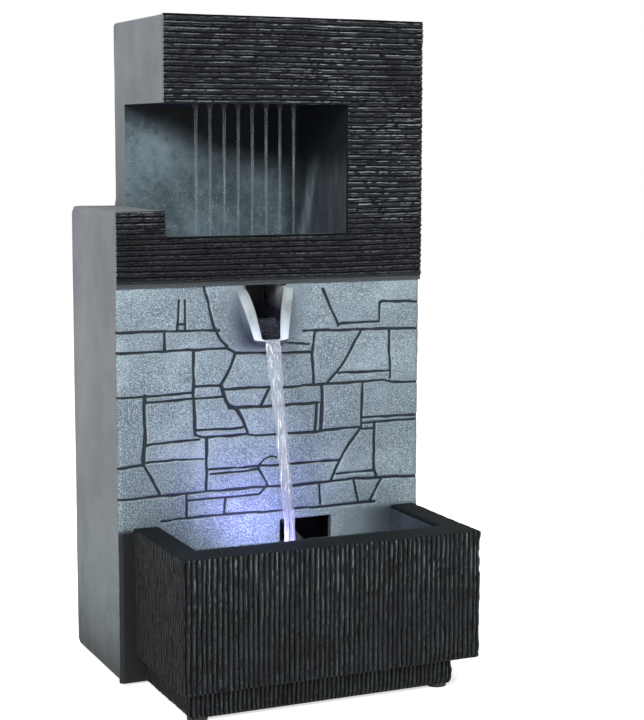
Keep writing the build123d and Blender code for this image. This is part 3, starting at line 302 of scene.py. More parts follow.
def ringed_mesh(name, rings, attributes=None):
    """A closed mesh through rings with equal counts of points, capped at both ends."""
    count = len(rings[0])
    faces = []
    for start in range(0, (len(rings) - 1) * count, count):
        for k in range(count):
            n = (k + 1) % count
            faces.append((start + k, start + n, start + count + n, start + count + k))
    faces.append(range(count))
    faces.append(range((len(rings) - 1) * count, len(rings) * count))
    mesh = mesh_of(name, [p for ring in rings for p in ring], faces, attributes)
    bm = bmesh.new()
    bm.from_mesh(mesh)
    turn_outwards(bm, mesh)
    return mesh


def turn_outwards(bm, mesh):
    """Turns the faces outwards and writes them back to the mesh."""
    bmesh.ops.recalc_face_normals(bm, faces=bm.faces)
    bm.to_mesh(mesh)
    bm.free()


def fill(bm, edges):
    """Fills a flat ring of edges with triangles."""
    bmesh.ops.triangle_fill(bm, edges=edges, use_beauty=False, use_dissolve=False)


def cap_open_edges(mesh):
    """Fills each flat opening of a mesh, holes and all, and turns the faces outwards."""
    bm = bmesh.new()
    bm.from_mesh(mesh)
    fill(bm, [e for e in bm.edges if len(e.link_faces) == 1])
    turn_outwards(bm, mesh)


def cell_skin(xs, ys, zs, solid):
    """The closed skin of the solid cells of a grid: its points and quads."""
    shape = (len(xs), len(ys), len(zs))
    index = np.arange(np.prod(shape)).reshape(shape)
    padded = np.zeros([n + 1 for n in shape], bool)
    padded[1:-1, 1:-1, 1:-1] = solid
    quads = []
    for axis in range(3):
        before = np.moveaxis(padded, axis, 0)[:-1]
        after = np.moveaxis(padded, axis, 0)[1:]
        corners = np.moveaxis(index, axis, 0)
        i, j, k = np.nonzero((before != after)[:, 1:-1, 1:-1])
        places = ((j, k), (j + 1, k), (j + 1, k + 1), (j, k + 1))
        ring = np.stack([corners[i, a, b] for a, b in places], 1)
        outward = before[:, 1:-1, 1:-1][i, j, k]
        if axis == 1:
            outward = ~outward
        ring[~outward] = ring[~outward][:, ::-1]
        quads.append(ring)
    used, faces = np.unique(np.concatenate(quads), return_inverse=True)
    a, b, c = np.unravel_index(used, shape)
    return np.stack([xs[a], ys[b], zs[c]], 1), faces.reshape(-1, 4)


def round_edge(points, a, at_a, side_a, b, at_b, side_b, radius, where=None):
    """Rounds the edge where the plane a = at_a meets b = at_b. A side is -1 or 1, outwards."""
    u = (points[:, a] - at_a) * side_a + radius
    v = (points[:, b] - at_b) * side_b + radius
    near = (u > 1e-7) & (v > 1e-7) & (u < radius * 1.01) & (v < radius * 1.01)
    if where is not None:
        near &= where
    scale = np.maximum(u, v) / np.maximum(np.hypot(u, v), 1e-9)
    points[near, a] = (at_a - side_a * radius + side_a * u * scale)[near]
    points[near, b] = (at_b - side_b * radius + side_b * v * scale)[near]


def centres(xs):
    """The middles of the cells between coordinates."""
    return (xs[1:] + xs[:-1]) / 2


# ---- Materials ---------------------------------------------------------------


class Tree:
    """Short calls for building one node tree."""

    def __init__(self, tree):
        self.tree = tree

    def join(self, value, socket):
        """Links a socket to another, or sets it to a value. A colour is red, green and blue."""
        if isinstance(value, bpy.types.NodeSocket):
            self.tree.links.new(value, socket)
        elif socket.type == "RGBA":
            socket.default_value = (*value, 1.0)
        else:
            socket.default_value = value

    def node(self, kind, inputs=None, **settings):
        made = self.tree.nodes.new(kind)
        for key, value in settings.items():
            setattr(made, key, value)
        for key, value in (inputs or {}).items():
            self.join(value, made.inputs[key])
        return made

    def place(self):
        return self.node("ShaderNodeTexCoord").outputs["Object"]

    def stretched(self, scale):
        return self.node("ShaderNodeMapping", {"Vector": self.place(), "Scale": scale}).outputs[0]

    def grain(self, scale, detail=4.0, roughness=0.6, vector=None):
        vector = vector or self.place()
        inputs = {"Vector": vector, "Scale": scale, "Detail": detail, "Roughness": roughness}
        return self.node("ShaderNodeTexNoise", inputs).outputs["Fac"]

    def cells(self, scale):
        inputs = {"Vector": self.place(), "Scale": scale}
        return self.node("ShaderNodeTexVoronoi", inputs).outputs["Distance"]

    def attribute(self, name):
        return self.node("ShaderNodeAttribute", attribute_name=name).outputs["Fac"]

    def fade(self, value, low, high, to_low=0.0, to_high=1.0):
        inputs = {0: value, 1: low, 2: high, 3: to_low, 4: to_high}
        return self.node("ShaderNodeMapRange", inputs, interpolation_type="SMOOTHSTEP").outputs[0]

    def sum(self, operation, a, b):
        return self.node("ShaderNodeMath", {0: a, 1: b}, operation=operation).outputs[0]

    def times(self, first, *others):
        for other in others:
            first = self.sum("MULTIPLY", first, other)
        return first

    def plus(self, a, b):
        return self.sum("ADD", a, b)

    def minus(self, a, b):
        return self.sum("SUBTRACT", a, b)

    def blend(self, factor, a, b):
        inputs = {"Factor": factor, 6: a, 7: b}
        return self.node("ShaderNodeMix", inputs, data_type="RGBA").outputs[2]

    def bump(self, height, distance, strength):
        inputs = {"Height": height, "Distance": distance, "Strength": strength}
        return self.node("ShaderNodeBump", inputs).outputs["Normal"]

    def group(self, tree, inputs):
        return self.node("ShaderNodeGroup", inputs, node_tree=tree).outputs

    def mottle(self, base, dark, light, scale):
        """Clouds and grains in three colours."""
        return self.group(MOTTLE, {"Base": base, "Dark": dark, "Light": light, "Scale": scale})

    def axis(self, letter):
        """One coordinate of the place, X, Y or Z."""
        return self.node("ShaderNodeSeparateXYZ", {0: self.place()}).outputs[letter]


def new_group(name, inputs, outputs):
    """An empty node group with named sockets, and its Tree, input node and output node."""
    tree = bpy.data.node_groups.new(name, "ShaderNodeTree")
    kinds = {"color": "NodeSocketColor", "float": "NodeSocketFloat"}
    for key, kind in inputs:
        tree.interface.new_socket(key, in_out="INPUT", socket_type=kinds[kind])
    for key, kind in outputs:
        tree.interface.new_socket(key, in_out="OUTPUT", socket_type=kinds[kind])
    t = Tree(tree)
    return t, t.node("NodeGroupInput").outputs, t.node("NodeGroupOutput").inputs


def make_mottle():
    """Clouds and fine grains over a base colour."""
    t, given, out = new_group(
        "mottle",
        [("Base", "color"), ("Dark", "color"), ("Light", "color"), ("Scale", "float")],
        [("Color", "color"), ("Height", "float")],
    )
    clouds = t.grain(given["Scale"], 5.0, 0.62)
    fine = t.grain(t.times(given["Scale"], 14.0), 3.0, 0.7)
    shade = t.blend(t.fade(clouds, 0.32, 0.56, 1.0, 0.0), given["Base"], given["Dark"])
    lit = t.blend(t.fade(clouds, 0.5, 0.76), shade, given["Light"])
    grains = t.fade(fine, 0.58, 0.72)
    speck = t.blend(t.times(grains, 0.35), lit, given["Light"])
    t.join(speck, out["Color"])
    t.join(t.plus(t.times(clouds, 0.6), fine), out["Height"])
    return t.tree


def make_dry_brush():
    """Paint dragged over a relief: it catches the crests in broken streaks."""
    t, given, out = new_group(
        "dry_brush",
        [
            ("Crest", "float"),
            ("Across", "float"),
            ("Paint", "color"),
            ("Dust", "color"),
            ("Amount", "float"),
        ],
        [("Color", "color"), ("Mask", "float")],
    )
    patches = t.grain(34.0, 3.0, 0.6)
    streaks = t.fade(given["Across"], 0.42, 0.6)
    worn = t.times(streaks, t.fade(patches, 0.28, 0.6, 0.25, 1.0))
    worn = t.times(worn, t.fade(given["Crest"], 0.2, 0.85))
    mask = t.times(worn, given["Amount"])
    t.join(t.blend(mask, given["Paint"], given["Dust"]), out["Color"])
    t.join(mask, out["Mask"])
    return t.tree


MOTTLE = make_mottle()
DRY_BRUSH = make_dry_brush()


class Paint(Tree):
    """A material in the making: a tree with one Principled shader."""

    def __init__(self, name):
        self.material = bpy.data.materials.new(name)
        self.material.use_nodes = True
        self.material.node_tree.nodes.clear()
        super().__init__(self.material.node_tree)
        self.shader = self.node("ShaderNodeBsdfPrincipled")
        self.output = self.node("ShaderNodeOutputMaterial", {"Surface": self.shader.outputs[0]})

    def finish(self, **sockets):
        """Links or sets the shader's sockets; an underscore stands for a space."""
        for key, value in sockets.items():
            self.join(value, self.shader.inputs[key.replace("_", " ")])
        return self.material


def height_above(t, low, high):
    """0 at the low height and 1 at the high one."""
    return t.fade(t.axis("Z"), low, high)


def grey_paint():
    """The tower's smooth sides: matte grey, a little darker and greener towards the foot, with a
    near-black band of painted shade along the foot itself.
    """
    t = Paint("grey_paint")
    upper = t.mottle((0.19, 0.205, 0.222), (0.155, 0.171, 0.187), (0.228, 0.243, 0.26), 22.0)
    lower = t.mottle((0.145, 0.175, 0.186), (0.1, 0.125, 0.134), (0.185, 0.213, 0.225), 34.0)
    brushed = t.grain(60.0, 4.0, 0.6, t.stretched((1.0, 1.0, 0.22)))
    cloudy = t.times(t.grain(14.0, 3.0, 0.5), 0.12)
    climb = t.plus(height_above(t, 0.0, 0.2), t.minus(cloudy, 0.06))
    colour = t.blend(climb, lower["Color"], upper["Color"])
    # Painted shade: a near-black band along the bottom few centimetres, where the sides meet the
    # floor.
    colour = t.blend(height_above(t, -0.01, 0.055), (0.018, 0.023, 0.024), colour)
    colour = t.blend(t.fade(brushed, 0.5, 0.75, 0.0, 0.22), colour, (0.26, 0.277, 0.293))
    height = t.plus(upper["Height"], t.times(brushed, 0.8))
    t.finish(Base_Color=colour, Normal=t.bump(height, 0.00025, 0.7))
    return t.finish(Roughness=t.fade(brushed, 0.3, 0.7, 0.55, 0.72), Specular_IOR_Level=0.25)


def niche_paint():
    """The wet blue-grey inside of the niche and the trough, with painted shade under the ceiling
    and towards the right-hand corner, a painted wet sheen down the right wall and blue-tinted
    painted shade on the ceiling's underside.
    """
    t = Paint("niche_paint")
    mottle = t.mottle((0.12, 0.172, 0.198), (0.07, 0.104, 0.123), (0.2, 0.27, 0.3), 26.0)
    runs = t.grain(150.0, 4.0, 0.65, t.stretched((1.0, 1.0, 0.18)))
    z = t.axis("Z")
    splashed = t.fade(z, SILL_Z, SILL_Z + 42 * MM, 1.0, 0.0)
    drops = t.fade(t.cells(330.0), 0.12, 0.3, 1.0, 0.0)
    wet = t.times(t.times(drops, splashed), t.fade(t.grain(90.0), 0.42, 0.6))
    colour = t.blend(t.fade(runs, 0.5, 0.72, 0.0, 0.3), mottle["Color"], (0.2, 0.25, 0.265))
    colour = t.blend(wet, colour, (0.36, 0.43, 0.45))
    blots = t.grain(190.0, 4.0, 0.7)
    colour = t.blend(t.fade(blots, 0.5, 0.66, 0.0, 0.45), colour, (0.21, 0.27, 0.29))
    colour = t.blend(t.fade(blots, 0.34, 0.48, 0.5, 0.0), colour, (0.05, 0.072, 0.084))
    grit = t.grain(1100.0, 3.0, 0.75)
    colour = t.blend(t.fade(grit, 0.52, 0.68, 0.0, 0.5), colour, (0.27, 0.33, 0.35))
    colour = t.blend(t.fade(grit, 0.33, 0.47, 0.5, 0.0), colour, (0.035, 0.05, 0.06))
    # Painted shade under the ceiling: near black at the top, reaching further down towards the
    # right.
    x = t.axis("X")
    from_left = t.fade(x, UPPER_LEFT_X + 5 * MM, 5 * MM)
    wavy = t.times(t.minus(t.grain(24.0, 2.0, 0.5), 0.5), 30 * MM)
    low_edge = t.minus(NICHE_TOP - 12 * MM, t.times(from_left, 30 * MM))
    shade = t.fade(t.minus(t.plus(z, wavy), low_edge), -10 * MM, 18 * MM, 0.0, 0.985)
    colour = t.blend(shade, colour, (0.003, 0.004, 0.006))
    y = t.axis("Y")
    # Painted shade towards the niche's right-hand corner.
    corner = t.fade(x, NICHE_RIGHT_X - 16 * MM, NICHE_RIGHT_X - 5 * MM, 0.0, 0.75)
    colour = t.blend(corner, colour, (0.014, 0.019, 0.023))
    # A water run down the right wall near its back, painted lighter: a painted reflection of its
    # wet sheen.
    slant = t.plus(y, t.times(t.minus(z, SILL_Z), 0.36))
    off = t.sum("ABSOLUTE", t.minus(slant, 63 * MM), 0.0)
    run = t.times(t.fade(off, 2 * MM, 11 * MM, 1.0, 0.0), t.fade(runs, 0.35, 0.6, 0.4, 1.0))
    run = t.times(run, t.fade(z, SILL_Z + 40 * MM, SILL_Z + 60 * MM, 0.9, 0.0))
    slate = t.blend(t.fade(runs, 0.4, 0.7), (0.04, 0.049, 0.058), (0.062, 0.075, 0.087))
    side = t.blend(run, slate, (0.18, 0.235, 0.26))
    side = t.blend(t.times(shade, 0.9), side, (0.007, 0.009, 0.012))
    colour = t.blend(t.fade(x, NICHE_RIGHT_X - MM, NICHE_RIGHT_X - 0.3 * MM), colour, side)
    # The ceiling's underside is painted near black with a blue tint: painted shade and painted lamp
    # light.
    under = t.fade(z, NICHE_TOP - MM, NICHE_TOP - 0.3 * MM)
    colour = t.blend(under, colour, (0.008, 0.009, 0.026))
    height = t.plus(mottle["Height"], t.times(wet, 1.6))
    t.finish(Base_Color=colour, Normal=t.bump(height, 0.0004, 0.9))
    t.finish(Roughness=t.fade(mottle["Height"], 0.5, 1.2, 0.34, 0.6))
    return t.finish(Specular_IOR_Level=0.16)


def raw_resin():
    """The unpainted inside of the castings."""
    t = Paint("raw_resin")
    mottle = t.mottle((0.11, 0.11, 0.105), (0.07, 0.07, 0.068), (0.16, 0.16, 0.152), 40.0)
    t.finish(Base_Color=mottle["Color"], Normal=t.bump(mottle["Height"], 0.0005, 0.8))
    return t.finish(Roughness=0.8)


def ribbed_paint(name, along, dust, grit_share):
    """Charcoal over ribs, with silver dragged along their crests, drawn out where worn, and painted
    shade between the ribs. A low worn value also darkens the charcoal; on the basin's left end that
    is painted shade.
    """
    t = Paint(name)
    worn = t.attribute("worn")
    mottle = t.mottle(
        (0.0095, 0.0112, 0.0145), (0.0045, 0.0054, 0.0072), (0.0185, 0.0212, 0.026), 60.0
    )
    # The charcoal darkens where the worn value is low; on the basin's left end this is painted
    # shade.
    shade = t.fade(worn, 0.1, 0.5)
    base = t.blend(shade, (0.0045, 0.0052, 0.0062), mottle["Color"])
    drawn = t.grain(1500.0, 3.0, 0.7, t.stretched(along))
    broken = t.grain(1500.0, 3.0, 0.75, t.stretched(tuple(0.45 + 0.55 * a for a in along)))
    strokes = t.node("ShaderNodeMix", {"Factor": worn, 2: broken, 3: drawn}).outputs[0]
    inputs = {"Crest": t.attribute("crest"), "Across": strokes, "Dust": dust}
    brush = t.group(DRY_BRUSH, {**inputs, "Paint": base, "Amount": worn})
    grit = t.grain(1300.0, 3.0, 0.75)
    colour = t.blend(t.fade(grit, 0.53, 0.68, 0.0, grit_share), brush["Color"], dust)
    # Painted shade between the ribs.
    colour = t.blend(t.fade(t.attribute("gap_shade"), 0.15, 0.7), colour, (0.0016, 0.0018, 0.0024))
    faded = t.blend(t.attribute("fade"), colour, (0.085, 0.097, 0.104))
    height = t.plus(t.times(strokes, 1.5), grit)
    t.finish(Base_Color=faded, Normal=t.bump(height, 0.0003, 0.8))
    t.finish(Roughness=t.fade(brush["Mask"], 0.0, 1.0, 0.62, 0.42))
    return t.finish(Specular_IOR_Level=0.18)


def stone_paint():
    """The stone wall: speckled blue-grey stones with dark joints and a painted highlight along
    their edges, painted dark next to the basin, with painted shade towards the bowl's right corner
    and a painted shadow by the spout.
    """
    t = Paint("stone_paint")
    joint = t.attribute("joint")
    tint = t.attribute("tint")
    mottle = t.mottle((0.24, 0.31, 0.355), (0.155, 0.21, 0.245), (0.35, 0.435, 0.49), 30.0)
    grit = t.grain(1350.0, 3.0, 0.8)
    plain = t.attribute("plain")
    speckled = t.blend(tint, mottle["Color"], (0.135, 0.18, 0.215))
    speckled = t.blend(t.fade(grit, 0.53, 0.63, 0.0, 0.9), speckled, (0.56, 0.65, 0.71))
    speckled = t.blend(t.fade(grit, 0.36, 0.47, 0.9, 0.0), speckled, (0.04, 0.06, 0.075))
    colour = t.blend(t.times(plain, 0.75), speckled, (0.2, 0.25, 0.29))
    # Lighter edges either side of each joint: a painted highlight.
    colour = t.blend(t.fade(joint, 0.03, 0.25, 0.0, 0.35), colour, (0.42, 0.49, 0.55))
    colour = t.blend(t.fade(joint, 0.25, 0.8), colour, (0.015, 0.024, 0.033))
    colour = t.blend(t.attribute("shadow"), colour, (0.035, 0.045, 0.085))
    colour = t.blend(t.attribute("dark"), colour, (0.011, 0.0125, 0.0145))
    t.finish(Base_Color=colour, Normal=t.bump(grit, 0.00025, 0.8))
    return t.finish(Roughness=t.fade(grit, 0.35, 0.65, 0.66, 0.45), Specular_IOR_Level=0.3)


def basin_smooth():
    """The basin's smooth rim and bowl: satin charcoal, a little scuffed."""
    t = Paint("basin_smooth")
    mottle = t.mottle(
        (0.006, 0.0088, 0.0096), (0.0036, 0.0052, 0.0058), (0.012, 0.0155, 0.0168), 32.0
    )
    scuffs = t.fade(t.grain(260.0, 4.0, 0.7), 0.6, 0.75, 0.0, 0.22)
    colour = t.blend(scuffs, mottle["Color"], (0.06, 0.064, 0.07))
    t.finish(Base_Color=colour, Normal=t.bump(mottle["Height"], 0.0002, 0.6))
    t.finish(Roughness=t.fade(mottle["Height"], 0.5, 1.2, 0.56, 0.7))
    return t.finish(Specular_IOR_Level=0.12)


def bowl_paint():
    """The inside of the bowl: blue-grey like the wall, and wet."""
    t = Paint("bowl_paint")
    mottle = t.mottle((0.046, 0.057, 0.077), (0.024, 0.03, 0.039), (0.06, 0.073, 0.092), 38.0)
    t.finish(Base_Color=mottle["Color"], Normal=t.bump(mottle["Height"], 0.0003, 0.7))
    return t.finish(Roughness=t.fade(mottle["Height"], 0.5, 1.2, 0.25, 0.5))


def spout_paint():
    """The spout: chalky off-white with earthy stains, darkened by water in its channel, with
    painted lamp light towards the tip and painted shadow on its flanks.
    """
    t = Paint("spout_paint")
    mottle = t.mottle((0.36, 0.41, 0.445), (0.21, 0.24, 0.26), (0.42, 0.47, 0.5), 85.0)
    stains = t.fade(t.grain(240.0, 4.0, 0.7), 0.55, 0.72, 0.0, 0.6)
    colour = t.blend(stains, mottle["Color"], (0.16, 0.145, 0.11))
    z = t.axis("Z")
    # Painted lamp light: the lips turn bright blue-white towards the tip.
    tip = t.fade(z, SPOUT_LOW.z + 3 * MM, SPOUT_LOW.z + 22 * MM, 1.0, 0.0)
    colour = t.blend(tip, colour, (0.72, 0.79, 0.95))
    # The flanks are wall-coloured, darkening to blue towards the tip as painted shadow.
    flank = t.blend(tip, (0.15, 0.19, 0.225), (0.035, 0.046, 0.08))
    colour = t.blend(t.fade(t.attribute("lip"), 0.3, 0.8), flank, colour)
    colour = t.blend(t.attribute("wet"), colour, (0.012, 0.013, 0.018))
    t.finish(Base_Color=colour, Normal=t.bump(mottle["Height"], 0.0003, 0.7))
    return t.finish(Roughness=t.fade(t.attribute("wet"), 0.0, 1.0, 0.55, 0.16))


def plastic(name, colour, roughness, grain_scale=900.0):
    """Moulded plastic with a fine spark-eroded grain and faint handling marks."""
    t = Paint(name)
    grain = t.grain(grain_scale, 2.0, 0.5)
    marks = t.grain(70.0, 4.0, 0.65)
    dark = tuple(0.72 * c for c in colour)
    tone = t.blend(t.fade(marks, 0.35, 0.68), dark, colour)
    t.finish(Base_Color=tone, Normal=t.bump(grain, 0.00012, 0.5))
    return t.finish(Roughness=t.fade(marks, 0.3, 0.7, roughness - 0.07, roughness + 0.08))


def rubber(name, colour, roughness=0.62):
    """Soft rubber, matte, with a dusting of lighter grains."""
    t = Paint(name)
    dust = t.grain(420.0, 4.0, 0.7)
    light = tuple(1.6 * c + 0.004 for c in colour)
    tone = t.blend(t.fade(dust, 0.52, 0.74), colour, light)
    t.finish(Base_Color=tone, Normal=t.bump(dust, 0.00015, 0.5))
    return t.finish(Roughness=t.fade(dust, 0.35, 0.7, roughness - 0.1, roughness + 0.12))


def metal(name, colour, roughness):
    """Bare metal with fine lathe marks and cloudy tarnish."""
    t = Paint(name)
    marks = t.grain(900.0, 3.0, 0.6, t.stretched((1.0, 1.0, 6.0)))
    tarnish = t.grain(160.0, 4.0, 0.6)
    dark = tuple(0.6 * c for c in colour)
    tone = t.blend(t.fade(tarnish, 0.4, 0.7), colour, dark)
    t.finish(Base_Color=tone, Normal=t.bump(marks, 0.00008, 0.5))
    t.finish(Roughness=t.fade(tarnish, 0.35, 0.7, roughness, roughness + 0.18))
    return t.finish(Metallic=1.0)


def clear_hose():
    """Milky silicone tube."""
    t = Paint("clear_hose")
    cloud = t.grain(120.0, 3.0, 0.6)
    tone = t.blend(t.fade(cloud, 0.35, 0.7), (0.5, 0.55, 0.55), (0.68, 0.72, 0.72))
    t.finish(Base_Color=tone, Normal=t.bump(cloud, 0.0002, 0.4))
    t.finish(Roughness=t.fade(cloud, 0.3, 0.7, 0.25, 0.4))
    t.finish(Subsurface_Weight=0.3)
    return t.finish(Subsurface_Radius=(0.004, 0.004, 0.004))


def lamp_lens_glass():
    """The lamp's clear window, lit from behind."""
    t = Paint("lamp_lens_glass")
    ripple = t.cells(700.0)
    t.finish(Base_Color=(0.8, 0.86, 1.0), Normal=t.bump(ripple, 0.0002, 0.3))
    t.finish(Roughness=t.fade(ripple, 0.0, 0.5, 0.05, 0.18), Transmission_Weight=0.8)
    t.finish(Emission_Color=(0.5, 0.55, 1.0))
    return t.finish(Emission_Strength=1.2)


def lamp_chip_glow():
    """A lit chip: yellow phosphor that shines blue-white."""
    t = Paint("lamp_chip_glow")
    phosphor = t.blend(t.fade(t.grain(2200.0), 0.4, 0.6), (0.85, 0.7, 0.2), (0.95, 0.85, 0.4))
    t.finish(Base_Color=phosphor, Roughness=0.4)
    t.finish(Emission_Color=(0.62, 0.66, 1.0))
    return t.finish(Emission_Strength=8.0)


def clear_water(name, tint, roughness=0.03):
    """Clear rippled water. Lamps shine through it."""
    t = Paint(name)
    ripple = t.grain(420.0, 2.0, 0.5)
    tone = t.blend(t.fade(ripple, 0.35, 0.65), tint, tuple(0.94 * c + 0.06 for c in tint))
    t.finish(Base_Color=tone, Normal=t.bump(ripple, 0.0005, 0.6))
    t.finish(Roughness=t.fade(ripple, 0.3, 0.7, roughness, roughness + 0.06))
    t.finish(Transmission_Weight=1.0)
    t.finish(IOR=1.33)
    clear = t.node("ShaderNodeBsdfTransparent", {"Color": (0.9, 0.94, 0.97)})
    shadow = t.node("ShaderNodeLightPath").outputs["Is Shadow Ray"]
    both = t.node("ShaderNodeMixShader", {0: shadow, 1: t.shader.outputs[0], 2: clear.outputs[0]})
    t.join(both.outputs[0], t.output.inputs["Surface"])
    return t.material


def broken_water(name, body, veil, streaks, rim):
    """Falling water: a see-through veil with white streaks drawn down it and white rims, a painted
    sheen along its edges.
    """
    t = Paint(name)
    ripple = t.grain(500.0, 3.0, 0.6, t.stretched((1.0, 1.0, 0.05)))
    streak = t.grain(950.0, 4.0, 0.65, t.stretched((1.0, 1.0, 0.035)))
    beads = t.grain(260.0, 3.0, 0.6, t.stretched((1.0, 1.0, 0.3)))
    # Painted sheen: the edges, where the surface turns away, go white.
    facing = t.node("ShaderNodeLayerWeight", {"Blend": 0.5}).outputs["Facing"]
    rims = t.times(t.fade(facing, 0.4, 0.85), rim)
    drawn = t.times(t.fade(streak, 0.48, 0.62), t.fade(beads, 0.36, 0.62, 0.3, 1.0))
    bright = t.sum("MAXIMUM", t.times(drawn, streaks), rims)
    t.finish(Base_Color=t.blend(bright, body, (0.93, 0.95, 1.0)))
    t.finish(Alpha=t.fade(bright, 0.0, 1.0, veil, 0.95))
    t.finish(Roughness=t.fade(bright, 0.0, 1.0, 0.06, 0.35))
    t.finish(Normal=t.bump(ripple, 0.0005, 0.7))
    return t.finish(IOR=1.33)


# ---- Tower -------------------------------------------------------------------


def rib_relief(x, z):
    """How far the ribbed front lies behind its crests, how much is crest, and how much painted
    shade it gets between the ribs.
    """
    warp = 0.8 * MM * (noise_mm(x, z, 48, 9, 1) - 0.5)
    warp += 0.35 * MM * (noise_mm(x, z, 11, 3.25, 2) - 0.5)
    warp += 0.35 * MM * (noise_mm(x, z, 2.1, 1.6, 7) - 0.5)
    level = (z - BAND_BOTTOM + warp) / RIB_PITCH
    layer = np.floor(level)
    across = level - layer
    ridge = smooth(0.0, 0.17, across) * smooth(1.0, 0.8, across)
    split = smooth(0.3, 0.5, noise(x / (24 * MM), layer * 2.9, 5))
    place = 0.36 + 0.24 * noise(x / (60 * MM), layer * 4.1, 24)
    groove = bell(across - place, 0.07) * split
    shelf = noise(x / (22 * MM), layer * 1.7, 3)
    ledge = smooth(place, place + 0.08, across) - 0.5
    chips = smooth(0.55, 0.85, noise(x / (2.2 * MM), level * 2.3, 4))
    fine = rough(x / (9 * MM), level * 5.5, 25) - 0.5
    depth = RIB_DEPTH * (1 - ridge) + 0.7 * MM * shelf + 0.55 * MM * chips + 0.8 * MM * groove
    depth = depth - 0.3 * MM * ledge * split - 0.55 * MM * fine
    upper = bell(across - 0.72, 0.1)
    lower = bell(across - place + 0.14, 0.07) * split
    crest = np.clip(upper + 0.8 * lower + 0.5 * fine, 0, 1) * (1 - 0.4 * shelf) * (1 - 0.85 * chips)
    gap_shade = np.maximum(1 - ridge, 0.9 * groove)
    return depth, np.clip(crest * 1.3, 0, 1), gap_shade


def side_relief(a, z):
    """Slow unevenness of the smooth cast sides."""
    return 0.55 * MM * (rough_mm(a, z, 34, 48, 6) - 0.5)


def cast_side_x(x, y, z):
    """The x of the tower's sides once they are uneven, for grid points that lie on a side."""
    relief = side_relief(y, z)
    upper = side_relief(y + 0.3, z)
    on_upper = np.isclose(x, UPPER_LEFT_X) & (z > NICHE_TOP - NEAR)
    out = x + np.where(np.isclose(x, TOWER_LOW.x), relief, 0) + np.where(on_upper, upper, 0)
    return out - np.where(np.isclose(x, TOWER_HIGH.x), relief, 0)


def cast_top_z(x, y, z):
    """The z of the tower's two tops once they are uneven, for grid points that lie on a top."""
    low_top = np.isclose(z, SHOULDER_Z) & (x < UPPER_LEFT_X + NEAR)
    relief = 0.3 * MM * rough_mm(x, y, 30, 22, 20)
    return z - np.where(np.isclose(z, TOWER_HIGH.z) | low_top, relief, 0)


def ribbed_front():
    """The dark ribbed face: the head, the pier, the band and the low block at the left."""
    left, right, top = TOWER_LOW.x, TOWER_HIGH.x, TOWER_HIGH.z
    xs = steps([left, UPPER_LEFT_X, NICHE_RIGHT_X, right], 1.5 * MM)
    zs = steps([BAND_BOTTOM, SILL_Z, SHOULDER_Z, NICHE_TOP, top], RIB_PITCH / 9)
    cx, cz = np.meshgrid(centres(xs), centres(zs), indexing="ij")
    band = cz < SILL_Z
    low_block = (cx < UPPER_LEFT_X) & (cz < SHOULDER_Z)
    pier = (cx > NICHE_RIGHT_X) & (cz < NICHE_TOP)
    head = (cx > UPPER_LEFT_X) & (cz > NICHE_TOP)
    x, z = np.meshgrid(xs, zs, indexing="ij")
    depth, crest, gap_shade = rib_relief(x, z)
    edge_x = np.minimum(np.abs(x - left), np.abs(x - right))
    edge_x = np.where(z > SHOULDER_Z, np.minimum(edge_x, np.abs(x - UPPER_LEFT_X)), edge_x)
    depth = depth + 0.7 * MM * smooth(3 * MM, 0, edge_x)
    foot = 1 - smooth(BAND_BOTTOM, BAND_BOTTOM + 5 * MM, z)
    depth = np.minimum(depth * (1 - foot) + foot * 2.2 * MM, 3.4 * MM)
    y = FRONT_Y + depth
    behind = np.full(x.shape, RIB_BACK_Y)
    back = np.stack([cast_side_x(x, RIB_BACK_Y, z), behind, cast_top_z(x, behind, z)], 2)
    inward = 0.7 * MM * (rough(z / (1.6 * MM), depth / MM, 8) - 0.2) * np.clip(crest * 1.2, 0, 1)
    share = (0.5 + 0.5 * smooth(left, 0.6 * right, x)) * (0.3 + 0.7 * smooth(SILL_Z, SHOULDER_Z, z))
    on_left = np.isclose(x, left) | (np.isclose(x, UPPER_LEFT_X) & (z > NICHE_TOP - NEAR))
    turned = np.where(on_left, inward, 0) - np.where(np.isclose(x, right), inward, 0)
    places = np.stack([cast_side_x(x, FRONT_Y, z) + turned, y, cast_top_z(x, y, z)], 2)
    attributes = {"crest": crest, "gap_shade": gap_shade, "fade": foot * 0.85, "worn": share}
    keep = band | low_block | pier | head
    mesh = relief_slab("ribbed_front", places, keep, back, attributes)
    paint = ribbed_paint("ribbed_paint", (0.03, 1.0, 1.0), (0.38, 0.405, 0.45), 0.13)
    piece = new_object("ribbed_front", mesh, [paint, grey_paint_made])
    paint_sides(piece, 1)
    return add_piece(piece, "tower_resin", "tower_casting")


def paint_sides(piece, index):
    """Gives the faces that look left, right or up the second paint, as on the tower's sides."""
    for face in piece.data.polygons:
        outer = abs(face.normal.x) > 0.8 or face.normal.z > 0.9
        deep = max(piece.data.vertices[v].co.y for v in face.vertices) > RIB_BACK_Y - CLOSE
        if outer and deep and not in_niche(face.center):
            face.material_index = index


def in_niche(p):
    """Whether a place is in or on the niche's walls."""
    inside_x = UPPER_LEFT_X - 1e-4 < p.x < NICHE_RIGHT_X + 1e-4
    return inside_x and SILL_Z - 1e-4 < p.z < NICHE_TOP + 1e-4


def distance_to_path(x, z, path):
    """Each point's distance from a line of straight runs."""
    best = np.full(x.shape, 1.0)
    for (ax, az), (bx, bz) in zip(path, path[1:]):
        dx, dz = bx - ax, bz - az
        t = np.clip(((x - ax) * dx + (z - az) * dz) / (dx * dx + dz * dz), 0, 1)
        best = np.minimum(best, np.hypot(x - ax - t * dx, z - az - t * dz))
    return best


